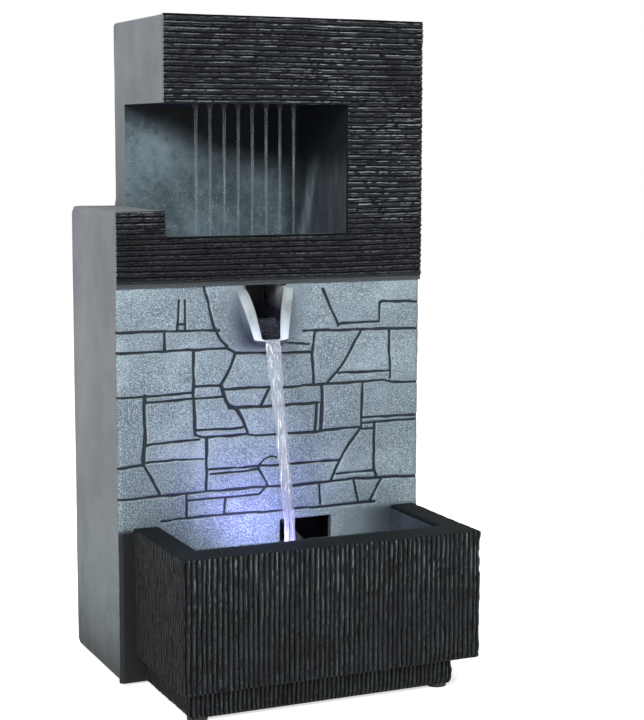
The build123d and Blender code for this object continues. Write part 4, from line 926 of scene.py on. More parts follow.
def joint_relief(x, z):
    """1 in the middle of a stone joint and 0 on the stones."""
    wobble_x = x + 0.7 * MM * (noise_mm(x, z, 7, 7, 9) - 0.5)
    wobble_z = z + 0.7 * MM * (noise_mm(x, z, 7, 7, 10) - 0.5)
    deepest = np.zeros(x.shape)
    for width, path in JOINTS:
        metres = [(a * MM, b * MM) for a, b in path]
        away = distance_to_path(wobble_x, wobble_z, metres)
        half = width * MM * (0.54 + 0.36 * noise_mm(x, z, 6, 6, 12))
        deepest = np.maximum(deepest, 1 - smooth(half * 0.45, half * 1.5, away))
    return deepest


def stone_wall():
    """The lower front wall: a relief of stones and joints, with the window and the spout's hole."""
    left, right = TOWER_LOW.x, TOWER_HIGH.x
    spout_left, spout_right = THROAT_LOW_X + 2 * MM, THROAT_HIGH_X - 2 * MM
    stops_x = sorted([left, WINDOW_LOW_X, WINDOW_HIGH_X, right, spout_left, spout_right])
    xs = steps(stops_x, 0.72 * MM)
    bottom = TOWER_LOW.z
    zs = steps([bottom, WINDOW_LOW_Z, WINDOW_HIGH_Z, THROAT_LOW_Z, BAND_BOTTOM], 0.72 * MM)
    cx, cz = np.meshgrid(centres(xs), centres(zs), indexing="ij")
    window = within(cx, WINDOW_LOW_X, WINDOW_HIGH_X) & within(cz, WINDOW_LOW_Z, WINDOW_HIGH_Z)
    throat = within(cx, spout_left, spout_right) & (cz > THROAT_LOW_Z)
    x, z = np.meshgrid(xs, zs, indexing="ij")
    joint = joint_relief(x, z)
    joint = joint * smooth(BASIN_HIGH.z - 1 * MM, BASIN_HIGH.z + 2 * MM, z)
    swell = rough_mm(x, z, 26, 17, 14)
    grit = rough_mm(x, z, 1.3, 1.3, 15)
    out_of_bowl = 1 - smooth(-79 * MM, -76 * MM, x) + smooth(82 * MM, 85 * MM, x)
    dark_paint_and_shade = out_of_bowl * (1 - smooth(93 * MM, 97.5 * MM, z))
    reach = (z - SPOUT_LOW.z) / (BAND_BOTTOM - SPOUT_LOW.z)
    flank = np.abs(x - SPOUT_MIDDLE) - (11 + 9 * reach) * MM
    away = np.hypot(np.maximum(flank, 0), np.maximum(SPOUT_LOW.z + 1 * MM - z, 0))
    flare = bell(away, 9 * MM) * smooth(0.185, 0.2, z)
    low_right = smooth(44 * MM, 50 * MM, x) * (1 - smooth(94 * MM, 99 * MM, z))
    plain = np.maximum(flare, low_right)
    # Inside the bowl right of the window the wall darkens towards the right corner: painted shade.
    dark_paint_and_shade = np.maximum(dark_paint_and_shade, 0.75 * low_right * smooth(50 * MM, 80 * MM, x))
    depth = JOINT_DEPTH * joint + 0.45 * MM * swell + 0.3 * MM * grit * (1 - 0.8 * dark_paint_and_shade)
    corner = np.minimum(np.abs(x - left), np.abs(x - right))
    depth = depth + 1.5 * MM * smooth(2.6 * MM, 0, corner) - 1.6 * MM * flare
    y = STONE_Y + depth
    chipped = 0.5 * MM * rough_mm(z, z, 5, 5, 17)
    turned = np.where(np.isclose(x, left), chipped, 0) - np.where(np.isclose(x, right), chipped, 0)
    tint = 0.75 * smooth(0.35, 0.75, rough_mm(x, z, 38, 24, 18))
    far_left = smooth(-78 * MM, -90 * MM, x) + smooth(-46 * MM, -62 * MM, x) * (z < 134 * MM)
    tint = np.clip(tint + 0.75 * far_left * smooth(178 * MM, 172 * MM, z), 0, 1)
    places = np.stack([cast_side_x(x, FRONT_Y, z) + turned, y, z], 2)
    behind = np.full(x.shape, STONE_BACK_Y)
    back = np.stack([cast_side_x(x, STONE_BACK_Y, z), behind, z], 2)
    shadow = 0.85 * bell(away, 8 * MM)
    shadow = shadow * smooth(SPOUT_MIDDLE, SPOUT_MIDDLE - 8 * MM, x)
    shadow = shadow * smooth(240 * MM, 214 * MM, z) * smooth(196 * MM, 206 * MM, z)
    attributes = {"joint": joint, "tint": tint, "dark": dark_paint_and_shade, "plain": plain, "shadow": shadow}
    mesh = relief_slab("stone_wall", places, ~(window | throat), back, attributes)
    piece = new_object("stone_wall", mesh, [stone_paint(), grey_paint_made])
    for face in piece.data.polygons:
        if abs(face.normal.x) > 0.8 and abs(face.center.x) > 0.098:
            face.material_index = 1
    return add_piece(piece, "tower_resin", "tower_casting")


def tower_solid(x, y, z):
    """Whether each place belongs to the hollow tower behind its front reliefs."""
    left, right, top = TOWER_LOW.x, TOWER_HIGH.x, TOWER_HIGH.z

    def stepped(inset, bottom):
        lower = (x > left + inset) & (x < right - inset) & (z < SHOULDER_Z - inset)
        upper = (x > UPPER_LEFT_X + inset) & (x < right - inset) & (z < top - inset)
        return (lower | upper) & (z > bottom)

    front = np.where(z > BAND_BOTTOM, RIB_BACK_Y, STONE_BACK_Y)
    mass = stepped(0, TOWER_LOW.z) & (y > front)
    niche = within(z, SILL_Z, NICHE_TOP)
    niche |= (y > TROUGH_FRONT_Y) & within(z, TROUGH_FLOOR, SILL_Z + MM)
    niche &= within(x, UPPER_LEFT_X, NICHE_RIGHT_X) & (y < NICHE_BACK_Y)
    reserve = within(x, UPPER_LEFT_X - RESIN_WALL, NICHE_RIGHT_X + RESIN_WALL)
    reserve &= (y < NICHE_BACK_Y + RESIN_WALL) & within(z, TROUGH_UNDERSIDE, CEILING_TOP)
    inner_front = np.where(z > BAND_BOTTOM, FRONT_Y + RESIN_WALL, INNER_FRONT_Y)
    core = stepped(RESIN_WALL, TOWER_LOW.z + RESIN_WALL) & within(y, inner_front, LEDGE_FRONT_Y)
    core &= ~reserve
    through = stepped(PANEL_INSET + LEDGE_WIDTH, CHAMBER_RIM + LEDGE_WIDTH)
    through &= y > LEDGE_FRONT_Y - MM
    seat = stepped(PANEL_INSET, CHAMBER_RIM) & (y > PANEL_LOW_Y)
    window = within(x, WINDOW_LOW_X, WINDOW_HIGH_X) & within(z, WINDOW_LOW_Z, WINDOW_HIGH_Z)
    throat = within(x, THROAT_LOW_X, THROAT_HIGH_X) & within(z, THROAT_LOW_Z, BAND_BOTTOM)
    holes = (window | throat) & (y < INNER_FRONT_Y + MM)
    slot = within(x, SLOT_LOW_X, SLOT_HIGH_X) & within(y, SLOT_LOW_Y, SLOT_HIGH_Y)
    slot &= within(z, TROUGH_UNDERSIDE - MM, TROUGH_FLOOR + MM)
    return mass & ~(niche | core | through | seat | holes | slot)


def tower_shell():
    """The tower behind its reliefs: sides, back, top, niche, trough and the hollow inside."""
    left, right, top = TOWER_LOW.x, TOWER_HIGH.x, TOWER_HIGH.z
    wall, inset, ledge = RESIN_WALL, PANEL_INSET, PANEL_INSET + LEDGE_WIDTH
    soft = [1.0 * MM, 2.5 * MM, 4.5 * MM]
    xs = [left, right, UPPER_LEFT_X, NICHE_RIGHT_X, WINDOW_LOW_X, WINDOW_HIGH_X]
    xs += [THROAT_LOW_X, THROAT_HIGH_X, SLOT_LOW_X, SLOT_HIGH_X]
    xs += [UPPER_LEFT_X - wall, NICHE_RIGHT_X + wall]
    for d in soft + [wall, inset, ledge]:
        xs += [left + d, right - d, UPPER_LEFT_X + d]
    ys = [RIB_BACK_Y, STONE_BACK_Y, INNER_FRONT_Y, TROUGH_FRONT_Y, FRONT_Y + wall, NICHE_BACK_Y]
    ys += [NICHE_BACK_Y + wall, LEDGE_FRONT_Y, PANEL_LOW_Y, BACK_Y, SLOT_LOW_Y, SLOT_HIGH_Y]
    ys += [BACK_Y - d for d in soft]
    zs = [TOWER_LOW.z + d for d in (0, 2 * MM, 4.5 * MM, wall)] + [WINDOW_LOW_Z, WINDOW_HIGH_Z]
    zs += [CHAMBER_RIM, CHAMBER_RIM + LEDGE_WIDTH, THROAT_LOW_Z, BAND_BOTTOM, TROUGH_UNDERSIDE]
    zs += [TROUGH_FLOOR, SILL_Z, NICHE_TOP, CEILING_TOP]
    for d in [0] + soft + [wall, inset, ledge]:
        zs += [top - d, SHOULDER_Z - d]
    grid = []
    for stops in (xs, ys, zs):
        stops = sorted(stops)
        apart = [stops[0]] + [b for a, b in zip(stops, stops[1:]) if b - a > NEAR]
        grid.append(steps(apart, 5 * MM))
    xs, ys, zs = grid
    cells = np.meshgrid(centres(xs), centres(ys), centres(zs), indexing="ij")
    points, faces = cell_skin(xs, ys, zs, tower_solid(*cells))
    a, b, c = (points[faces[:, k]] for k in range(3))
    normal = np.cross(b - a, c - b)
    normal /= np.linalg.norm(normal, axis=1)[:, None]
    paints = shell_paints(points[faces].mean(1), normal)
    mesh = mesh_of("tower_shell", shape_shell(points.copy()), faces)
    mesh.polygons.foreach_set("material_index", paints.astype(np.int32))
    finishes = [grey_paint_made, niche_paint(), raw_resin()]
    piece = new_object("tower_shell", mesh, finishes, smooth_faces=False)
    smooth_by_angle(piece, 38)
    return add_piece(piece, "tower_resin", "tower_casting")


def shape_shell(p):
    """Rounds the tower's edges and makes its cast faces slightly uneven."""
    left, right, top = TOWER_LOW.x, TOWER_HIGH.x, TOWER_HIGH.z
    x, y, z = p[:, 0].copy(), p[:, 1].copy(), p[:, 2].copy()
    upper_left = np.isclose(x, UPPER_LEFT_X) & ((z > NICHE_TOP - NEAR) | (y > NICHE_BACK_Y - NEAR))
    upper_left &= z > SHOULDER_Z + NEAR
    tops = np.isclose(z, top) | (np.isclose(z, SHOULDER_Z) & (x < UPPER_LEFT_X + NEAR))
    lower = z < SHOULDER_Z + NEAR
    round_edge(p, 0, left, -1, 1, BACK_Y, 1, BACK_CORNER, lower & (y > BACK_Y - BACK_CORNER))
    round_edge(p, 0, right, 1, 1, BACK_Y, 1, SOFT_EDGE)
    round_edge(p, 0, UPPER_LEFT_X, -1, 1, BACK_Y, 1, SOFT_EDGE, z > SHOULDER_Z + NEAR)
    round_edge(p, 0, UPPER_LEFT_X, -1, 2, top, 1, SOFT_EDGE, z > NICHE_TOP)
    round_edge(p, 0, right, 1, 2, top, 1, SOFT_EDGE, z > NICHE_TOP)
    round_edge(p, 1, BACK_Y, 1, 2, top, 1, SOFT_EDGE)
    round_edge(p, 0, left, -1, 2, SHOULDER_Z, 1, 4.5 * MM, lower & (x < UPPER_LEFT_X))
    round_edge(p, 1, BACK_Y, 1, 2, SHOULDER_Z, 1, SOFT_EDGE, lower & (x < UPPER_LEFT_X - NEAR))
    round_edge(p, 0, left, -1, 2, TOWER_LOW.z, -1, 4.5 * MM)
    round_edge(p, 1, BACK_Y, 1, 2, TOWER_LOW.z, -1, 4.5 * MM)
    for side, sign in ((left, 1), (right, -1)):
        outer = np.isclose(x, side)
        p[outer, 0] += sign * side_relief(y, z)[outer]
    p[upper_left, 0] += side_relief(y + 0.3, z)[upper_left]
    p[tops, 2] -= (0.3 * MM * rough_mm(x, y, 30, 22, 20))[tops]
    back = np.isclose(y, BACK_Y)
    p[back, 1] -= (0.3 * MM * rough_mm(x, z, 30, 30, 21))[back]
    return p


def shell_paints(centre, normal):
    """0 for the painted outside, 1 for the niche and trough, 2 for the raw inside."""
    x, y, z = centre.T
    outer = (x < TOWER_LOW.x + CLOSE) | (x > TOWER_HIGH.x - CLOSE) | (y > BACK_Y - CLOSE)
    outer |= (z > TOWER_HIGH.z - CLOSE) | ((normal[:, 2] > 0.5) & np.isclose(z, SHOULDER_Z))
    outer |= np.isclose(x, UPPER_LEFT_X) & (normal[:, 0] < -0.5) & (z > SHOULDER_Z)
    niche = (x > UPPER_LEFT_X - CLOSE) & (x < NICHE_RIGHT_X + CLOSE) & (y < NICHE_BACK_Y + CLOSE)
    niche &= (z > TROUGH_FLOOR - CLOSE) & (z < NICHE_TOP + CLOSE)
    paints = np.full(len(centre), 2)
    paints[niche] = 1
    paints[outer] = 0
    return paints


def soften(piece, levels):
    """Subdivides a piece into soft curves."""
    modifier = piece.modifiers.new("soften", "SUBSURF")
    modifier.levels = modifier.render_levels = levels


def smooth_by_angle(piece, degrees):
    """Smooth shading except across edges sharper than an angle."""
    mesh = piece.data
    bm = bmesh.new()
    bm.from_mesh(mesh)
    limit = math.radians(degrees)
    for edge in bm.edges:
        edge.smooth = edge.is_manifold and edge.calc_face_angle(0) < limit
    for face in bm.faces:
        face.smooth = True
    bm.to_mesh(mesh)
    bm.free()


# ---- Basin -------------------------------------------------------------------


def basin_rows():
    """The basin's section from the plinth up over the rim and down the bowl.

    Each row is its height, its insets at left, right and front, and how much of the ribs it has.
    """
    plinth = np.array([PLINTH_LEFT, PLINTH_RIGHT, PLINTH_FRONT])
    rim = np.array([RIM_SIDE, RIM_SIDE, RIM_FRONT])
    draft = np.array([BOWL_DRAFT, BOWL_DRAFT, 0])
    top, under, low = BASIN_HIGH.z, BASIN_UNDERSIDE, BASIN_LOW.z
    rows = [(low, plinth + 4 * MM, 0.3), (low + 0.8 * MM, plinth + 1.8 * MM, 0.6)]
    rows += [(low + 2.4 * MM, plinth + 0.5 * MM, 1.0)]
    rows += [(z, plinth, 1.0) for z in steps([low + 4.5 * MM, under - 0.4 * MM], 2.4 * MM)]
    rows += [(under, plinth - 0.5 * MM, 0.6), (under, 0 * plinth + 2 * MM, 0.5)]
    rows += [(under + 0.7 * MM, 0 * plinth + 0.5 * MM, 0.9)]
    rows += [(z, 0 * plinth, 1.0) for z in steps([under + 2 * MM, top - 1.6 * MM], 1.9 * MM)]
    rows += [(top - 0.8 * MM, 0 * plinth, 1.0), (top - 0.2 * MM, 0 * plinth + 0.4 * MM, 0.95)]
    rows += [(top, 0 * plinth + 1.2 * MM, 0.7), (top, 0 * plinth + 2.6 * MM, 0.0)]
    rows += [(top, 0 * plinth + 6 * MM, 0.0)]
    rows += [(top, rim - 5 * MM, 0.0), (top - 0.1 * MM, rim - 1.6 * MM, 0.0)]
    rows += [(top - 0.6 * MM, rim - 0.4 * MM, 0.0), (top - 2 * MM, rim, 0.0)]
    for z in steps([top - 6 * MM, BOWL_FLOOR + 3 * MM], 5 * MM):
        rows.append((z, rim + draft * (top - z) / (top - BOWL_FLOOR), 0.0))
    foot = rim + draft
    rows += [(BOWL_FLOOR + 0.8 * MM, foot + 0.8 * MM, 0.0), (BOWL_FLOOR, foot + 3 * MM, 0.0)]
    return rows


def basin_relief(along, z, ragged):
    """How far the vertical ribs lie back, how much is crest, and how much painted shade it gets
    between the ribs.
    """
    warp = 0.8 * MM * (noise_mm(along, z, 7, 38, 31) - 0.5)
    warp += 0.5 * MM * (noise_mm(along, z, 3.1, 9, 32) - 0.5)
    level = (along + warp) / BASIN_RIB_PITCH
    rib = np.floor(level)
    across = level - rib
    ridge = smooth(0.0, 0.24, across) * smooth(1.0, 0.76, across)
    shelf = noise(rib * 1.9, z / (19 * MM), 33)
    chips = smooth(0.56, 0.82, noise(level * 2.1, z / (2.9 * MM), 34))
    fine = rough(level * 4.5, z / (9 * MM), 39) - 0.5
    depth = BASIN_RIB_DEPTH * (1 - ridge) + 0.5 * MM * shelf + 0.45 * MM * chips - 0.4 * MM * fine
    depth = depth + ragged * noise_mm(z, along, 7, 40, 37)
    crest = bell(across - 0.5, 0.15) + 0.6 * fine
    crest = np.clip(crest, 0, 1) * (1 - 0.4 * shelf) * (1 - 0.8 * chips)
    return depth, np.clip(crest * 1.3, 0, 1), 1 - ridge


def ragged_end(z):
    """How far the basin's broken right end lies in at a height."""
    slabs = noise(np.floor(z / (4.2 * MM)) * 1.37, 3.3, 35)
    return 2.6 * MM * (0.65 * slabs + 0.35 * noise(z / (2.2 * MM), 1.7, 38))


def basin():
    """The basin: a ribbed, ragged outside, a smooth rim and a bowl open at the wall."""
    low, high = Vector(BASIN_LOW), Vector(BASIN_HIGH)
    step = BASIN_RIB_PITCH / 8
    count_side = round((high.y - low.y) / step)
    count_front = round((high.x - low.x) / step)
    across, ahead = np.linspace(0, 1, count_side + 1), np.linspace(0, 1, count_front + 1)
    left = [(low.x, high.y + (low.y - high.y) * t, -1.0, 0.0) for t in across[:-1]]
    front = [(low.x + (high.x - low.x) * t, low.y, 0.0, -1.0) for t in ahead]
    right = [(high.x, low.y + (high.y - low.y) * t, 1.0, 0.0) for t in across[1:]]
    path = np.array(left + front + right)
    path[len(left), 2] = -1.0
    path[len(left) + len(front) - 1, 2] = 1.0
    along = np.concatenate([[0], np.cumsum(np.hypot(*np.diff(path[:, :2], axis=0).T))])
    ragged = np.where(path[:, 2] > 0.5, 0.9 * MM, 0.4 * MM)
    points, crests, gap_shades, worn = [], [], [], []
    for z, (inset_left, inset_right, inset_front), ribs in basin_rows():
        u = (path[:, 0] - low.x) / (high.x - low.x)
        v = (path[:, 1] - low.y) / (high.y - low.y)
        x = (low.x + inset_left) * (1 - u) + (high.x - inset_right) * u
        y = (low.y + inset_front) * (1 - v) + high.y * v
        heights = np.full(len(path), z)
        depth, crest, gap_shade = basin_relief(along, heights, ragged)
        x = x - path[:, 2] * depth * ribs - ragged_end(heights) * smooth(0.965, 1.0, u) * ribs
        y = y - path[:, 3] * depth * ribs
        if ribs == 0:
            heights = heights - 0.35 * MM * rough_mm(x, y, 17, 17, 36)
        ring = np.stack([x, y, heights], 1)
        ring[0, 1] = ring[-1, 1] = high.y
        points.append(ring)
        crests.append(crest * (ribs > 0))
        gap_shades.append(gap_shade * (ribs > 0))
        share = 0.38 + 0.62 * smooth(high.z - 50 * MM, high.z, heights)
        # The left end gets a third of the worn value: painted shade, darker and with less silver
        # than the front.
        worn.append(share * np.where(path[:, 2] < -0.5, 0.3, 1.0))
    points = np.stack(points)
    round_edge_pairs(points, low, high)
    rows, stations = points.shape[:2]
    index = np.arange(rows * stations).reshape(rows, stations)
    quads = np.stack(
        [index[:-1, :-1], index[:-1, 1:], index[1:, 1:], index[1:, :-1]], 2
    ).reshape(-1, 4)
    ends = [int(index[0, 0]), int(index[0, -1]), int(index[-1, 0]), int(index[-1, -1])]
    columns = {"crest": np.stack(crests).ravel(), "gap_shade": np.stack(gap_shades).ravel()}
    columns["worn"] = np.stack(worn).ravel()
    mesh = mesh_of("basin", points.reshape(-1, 3), quads, columns)
    close_basin(mesh, ends)
    ribs = ribbed_paint("basin_ribs", (1.0, 1.0, 0.05), (0.17, 0.195, 0.195), 0.2)
    piece = new_object("basin", mesh, [ribs, basin_smooth(), bowl_paint()])
    smooth_above = BASIN_HIGH.z - 0.5 * MM
    for face in piece.data.polygons:
        c = face.center
        inside = low.x + RIM_SIDE * 0.9 < c.x < high.x - RIM_SIDE * 0.9
        inside = inside and c.y > low.y + RIM_FRONT * 0.9
        if inside and c.z > BOWL_FLOOR - 1 * MM and c.z < high.z - 2.5 * MM:
            face.material_index = 2
        elif c.z > smooth_above or inside or face.normal.z < -0.9:
            face.material_index = 1
    smooth_by_angle(piece, 60)
    return add_piece(piece, "basin_resin", "basin_casting")


def round_edge_pairs(points, low, high):
    """Softens the basin's two vertical front corners."""
    flat = points.reshape(-1, 3)
    for at_x, side in ((low.x, -1), (high.x, 1)):
        round_edge(flat, 0, at_x, side, 1, low.y, -1, 2.0 * MM)


def close_basin(mesh, ends):
    """Adds the floor, the underside and the back of the basin."""
    bm = bmesh.new()
    bm.from_mesh(mesh)
    bm.verts.ensure_lookup_table()
    first_low, last_low, first_high, last_high = (bm.verts[i] for i in ends)
    under_edge = bm.edges.new((first_low, last_low))
    floor_edge = bm.edges.new((first_high, last_high))
    open_edges = [e for e in bm.edges if len(e.link_faces) == 1]
    under = [e for e in open_edges if all(v.co.z < BASIN_LOW.z + 0.1 * MM for v in e.verts)]
    floor = [e for e in open_edges if all(v.co.z < BOWL_FLOOR + 0.1 * MM for v in e.verts)]
    floor = [e for e in floor if e not in under and all(v.co.z > BOWL_FLOOR - MM for v in e.verts)]
    back = [e for e in open_edges if all(v.co.y > BASIN_HIGH.y - NEAR for v in e.verts)]
    fill(bm, under + [under_edge])
    fill(bm, floor + [floor_edge])
    fill(bm, back + [under_edge, floor_edge])
    turn_outwards(bm, mesh)


# ---- Spout -------------------------------------------------------------------


def spout():
    """The cast spout: two thick pale lips either side of a dark channel that narrows to the tip."""
    wall, tip = STONE_Y, SPOUT_LOW.y
    sections = [
        # y, then in mm: shift, outer and inner half, top, channel, underside, outer half below
        (SPOUT_HIGH.y, 0, 15.8, 9.5, 247.5, 246.5, 214.2, 15.8),
        (SPOUT_HIGH.y - 3.2 * MM, 0, 15.8, 9.5, 247.5, 246.0, 214.2, 15.8),
        (SPOUT_HIGH.y - 3.4 * MM, 0, 15.8, 9.8, 247.5, 220.2, 214.2, 15.8),
        (INNER_FRONT_Y + 0.2 * MM, 0, 15.8, 9.8, 247.5, 220.0, 214.2, 15.8),
        (INNER_FRONT_Y, 0, 15.5, 9.8, 239.5, 220.0, 214.2, 15.5),
        (wall + 0.5 * MM, 0, 19.9, 12.4, 239.6, 219.5, 205.0, 11.8),
        (wall - 2 * MM, -0.3, 19.2, 11.2, 237.6, 218.0, 203.6, 11.2),
        (wall - 6 * MM, -1.0, 17.2, 9.2, 231.8, 214.8, 203.4, 10.4),
        (wall - 10 * MM, -1.7, 15.0, 7.6, 224.6, 211.6, 203.3, 9.6),
        (wall - 14 * MM, -2.4, 13.0, 6.4, 216.6, 208.6, 203.3, 8.8),
        (wall - 16.4 * MM, -2.8, 12.0, 5.9, 211.8, 206.8, 203.5, 8.3),
        (wall - 17.4 * MM, -2.95, 11.6, 5.8, 210.2, 206.1, 203.8, 8.0),
        (tip, -3.0, 11.4, 5.8, 209.4, 205.8, 204.0, 7.8),
    ]
    rings, wet, lips = [], [], []
    for y, shift, outer, inner, lip, channel, under, below in sections:
        c = SPOUT_MIDDLE + shift * MM
        o, n, b = outer * MM, inner * MM, below * MM
        h, f, u = lip * MM, channel * MM, under * MM
        mid_z = (h + u) / 2
        lip_x = (o + n) / 2
        half = [(0.0, u), (b * 0.7, u), (b, u + 1.2 * MM), ((o + b) / 2 + 0.5 * MM, mid_z)]
        half += [(o, h - 2 * MM), (o - 0.8 * MM, h - 0.5 * MM), (lip_x, h)]
        half += [(n + 0.5 * MM, h - 0.6 * MM)]
        half += [(n, h - 2.2 * MM), (n * 0.98, f + 0.7 * MM), (n * 0.86, f), (0.0, f)]
        ring = [(c + px, y, pz) for px, pz in half]
        ring += [(c - px, y, pz) for px, pz in reversed(half[1:-1])]
        rings.append(ring)
        flags = [0, 0, 0, 0, 0, 0, 0, 0.1, 0.6, 1, 1, 1]
        wet += flags + flags[-2:0:-1]
        flags = [0, 0, 0, 0, 0.2, 1, 1, 1, 1, 0.5, 0, 0]
        lips += flags + flags[-2:0:-1]
    mesh = ringed_mesh("spout_cast", rings, {"wet": wet, "lip": lips})
    piece = new_object("spout_cast", mesh, [spout_paint()])
    soften(piece, 2)
    return add_piece(piece, "spout_resin", "spout")


# ---- Water -------------------------------------------------------------------


def tube(name, centre_line, widths, thicknesses, sides, seed, ripple):
    """A closed tube of water along a falling line, with a rippled elliptical section."""
    rings = []
    for k, (c, w, h) in enumerate(zip(centre_line, widths, thicknesses)):
        ring = []
        for s in range(sides):
            angle = 2 * math.pi * s / sides
            swell = 1 + ripple * (float(rough(s * 4.0 / sides + seed, k * 0.23, seed)) - 0.5)
            across, along = w * swell * math.cos(angle), h * swell * math.sin(angle)
            ring.append((c[0] + across, c[1] + along, c[2]))
        rings.append(ring)
    return ringed_mesh(name, rings)


def rain(material):
    """Eight fine streams from the nozzles to the trough."""
    top, bottom = NOZZLES_LOW.z - 0.1 * MM, TROUGH_LEVEL - 0.5 * MM
    for i in range(STREAM_COUNT):
        x = FIRST_STREAM_X + (LAST_STREAM_X - FIRST_STREAM_X) * i / (STREAM_COUNT - 1)
        line, widths = [], []
        for k in range(41):
            t = k / 40
            sway = 0.5 * MM * (float(noise(i * 3.7, t * 5, 41)) - 0.5) * t
            line.append((x + sway, STREAM_Y + 0.3 * MM * t, top + (bottom - top) * t))
            widths.append(STREAM_RADIUS * (1.15 - 0.3 * t))
        name = f"rain_stream_{i + 1}"
        mesh = tube(name, line, widths, widths, 10, 42 + i, 0.5)
        add_piece(new_object(name, mesh, [material]), "lens")


def fall(running, sliding):
    """Water down the spout's channel and over its tip, where it tightens and parts in two."""
    middle, tip = SPOUT_MIDDLE, SPOUT_LOW.y
    route = [
        # across, out from the tip, height, half width, half thickness
        (0.0, -31.0, 221.2, 6.5, 0.8),
        (0.0, -15.5, 219.6, 6.0, 0.8),
        (-1.6, -9.0, 212.0, 5.2, 0.8),
        (-2.9, -1.2, 208.2, 5.3, 0.8),
        (-3.1, 1.2, 206.9, 5.0, 1.0),
        (-3.0, 3.2, 201.0, 4.9, 1.5),
        (-2.6, 6.3, 184.0, 4.2, 2.0),
        (-0.7, 9.5, 158.0, 3.6, 2.1),
        (0.3, 13.2, 125.0, 3.3, 2.1),
        (1.0, 16.6, 98.0, 3.2, 2.0),
        (1.3, 18.6, 79.0, 3.2, 2.0),
    ]
    table = np.array(route)
    run = np.concatenate([[0], np.cumsum(np.hypot(*np.diff(table[:, 1:3], axis=0).T))])
    parts = [
        # name, first station, last station, rings, side, material
        ("spout_water", 0.0, run[3] - 0.4, 30, 0.0, sliding),
        ("falling_stream", run[3], run[-1], 110, -1.7, running),
        ("falling_strand", run[8] + 9, run[-1], 36, 2.0, running),
    ]
    for number, (name, start, end, rings, side, material) in enumerate(parts):
        stations = np.linspace(start, end, rings)
        x, out, z, w, h = (np.interp(stations, run, table[:, c]) for c in range(5))
        parting = smooth(run[8] + 6, run[9], stations)
        w = w * (1 - 0.52 * parting) * (0.88 + 0.24 * noise(stations / 9, 2.2 + side, 52))
        x = x + 0.5 * np.sin(stations / 17) + side * parting
        if name == "falling_strand":
            w = w * (0.25 + 0.75 * smooth(start, start + 8, stations))
        line = [(middle + a * MM, tip - b * MM, c * MM) for a, b, c in zip(x, out, z)]
        ripple = 0.2 if name == "spout_water" else 0.6
        mesh = tube(name, line, w * MM, h * MM, 20, 60 + number, ripple)
        piece = new_object(name, mesh, [material])
        soften(piece, 1)
        add_piece(piece, "lens")


def water_sheet(name, low, high, waves, material):
    """The top few millimetres of still water, with rings where streams strike it."""
    xs, ys = steps([low.x, high.x], 1.8 * MM), steps([low.y, high.y], 1.8 * MM)
    zs = np.array([low.z, high.z])
    solid = np.ones((len(xs) - 1, len(ys) - 1, 1), bool)
    points, faces = cell_skin(xs, ys, zs, solid)
    top = np.isclose(points[:, 2], high.z)
    lift = 0.25 * MM * (rough_mm(points[:, 0], points[:, 1], 9, 9, 70) - 0.5)
    for cx, cy, strength in waves:
        away = np.hypot(points[:, 0] - cx, points[:, 1] - cy)
        lift = lift + strength * np.cos(away / (1.1 * MM)) * np.exp(-away / (11 * MM))
    points[top, 2] += lift[top]
    piece = new_object(name, mesh_of(name, points, faces), [material], smooth_faces=False)
    smooth_by_angle(piece, 50)
    return add_piece(piece, "lens")


def still_water():
    """Water in the trough and in the bowl."""
    still = clear_water("still_water", (0.62, 0.74, 0.8), 0.02)
    places = np.linspace(FIRST_STREAM_X, LAST_STREAM_X, STREAM_COUNT)
    clear = 0.2 * MM
    low = Vector((UPPER_LEFT_X + clear, TROUGH_FRONT_Y + clear, TROUGH_LEVEL - WATER_SHEET))
    high = Vector((NICHE_RIGHT_X - clear, NICHE_BACK_Y - clear, TROUGH_LEVEL))
    water_sheet("trough_water", low, high, [(x, STREAM_Y, 0.3 * MM) for x in places], still)
    draft = BOWL_DRAFT * (BASIN_HIGH.z - POOL_LEVEL) / (BASIN_HIGH.z - BOWL_FLOOR) + 0.6 * MM
    inset = RIM_SIDE + draft
    front = BASIN_LOW.y + RIM_FRONT + clear
    low = Vector((BASIN_LOW.x + inset, front, POOL_LEVEL - WATER_SHEET))
    high = Vector((BASIN_HIGH.x - inset, STONE_Y - clear, POOL_LEVEL))
    strike = (SPOUT_MIDDLE + 0.6 * MM, SPOUT_LOW.y - 18.5 * MM, 0.7 * MM)
    water_sheet("bowl_water", low, high, [strike], still)


# ---- Carried-over pieces -----------------------------------------------------


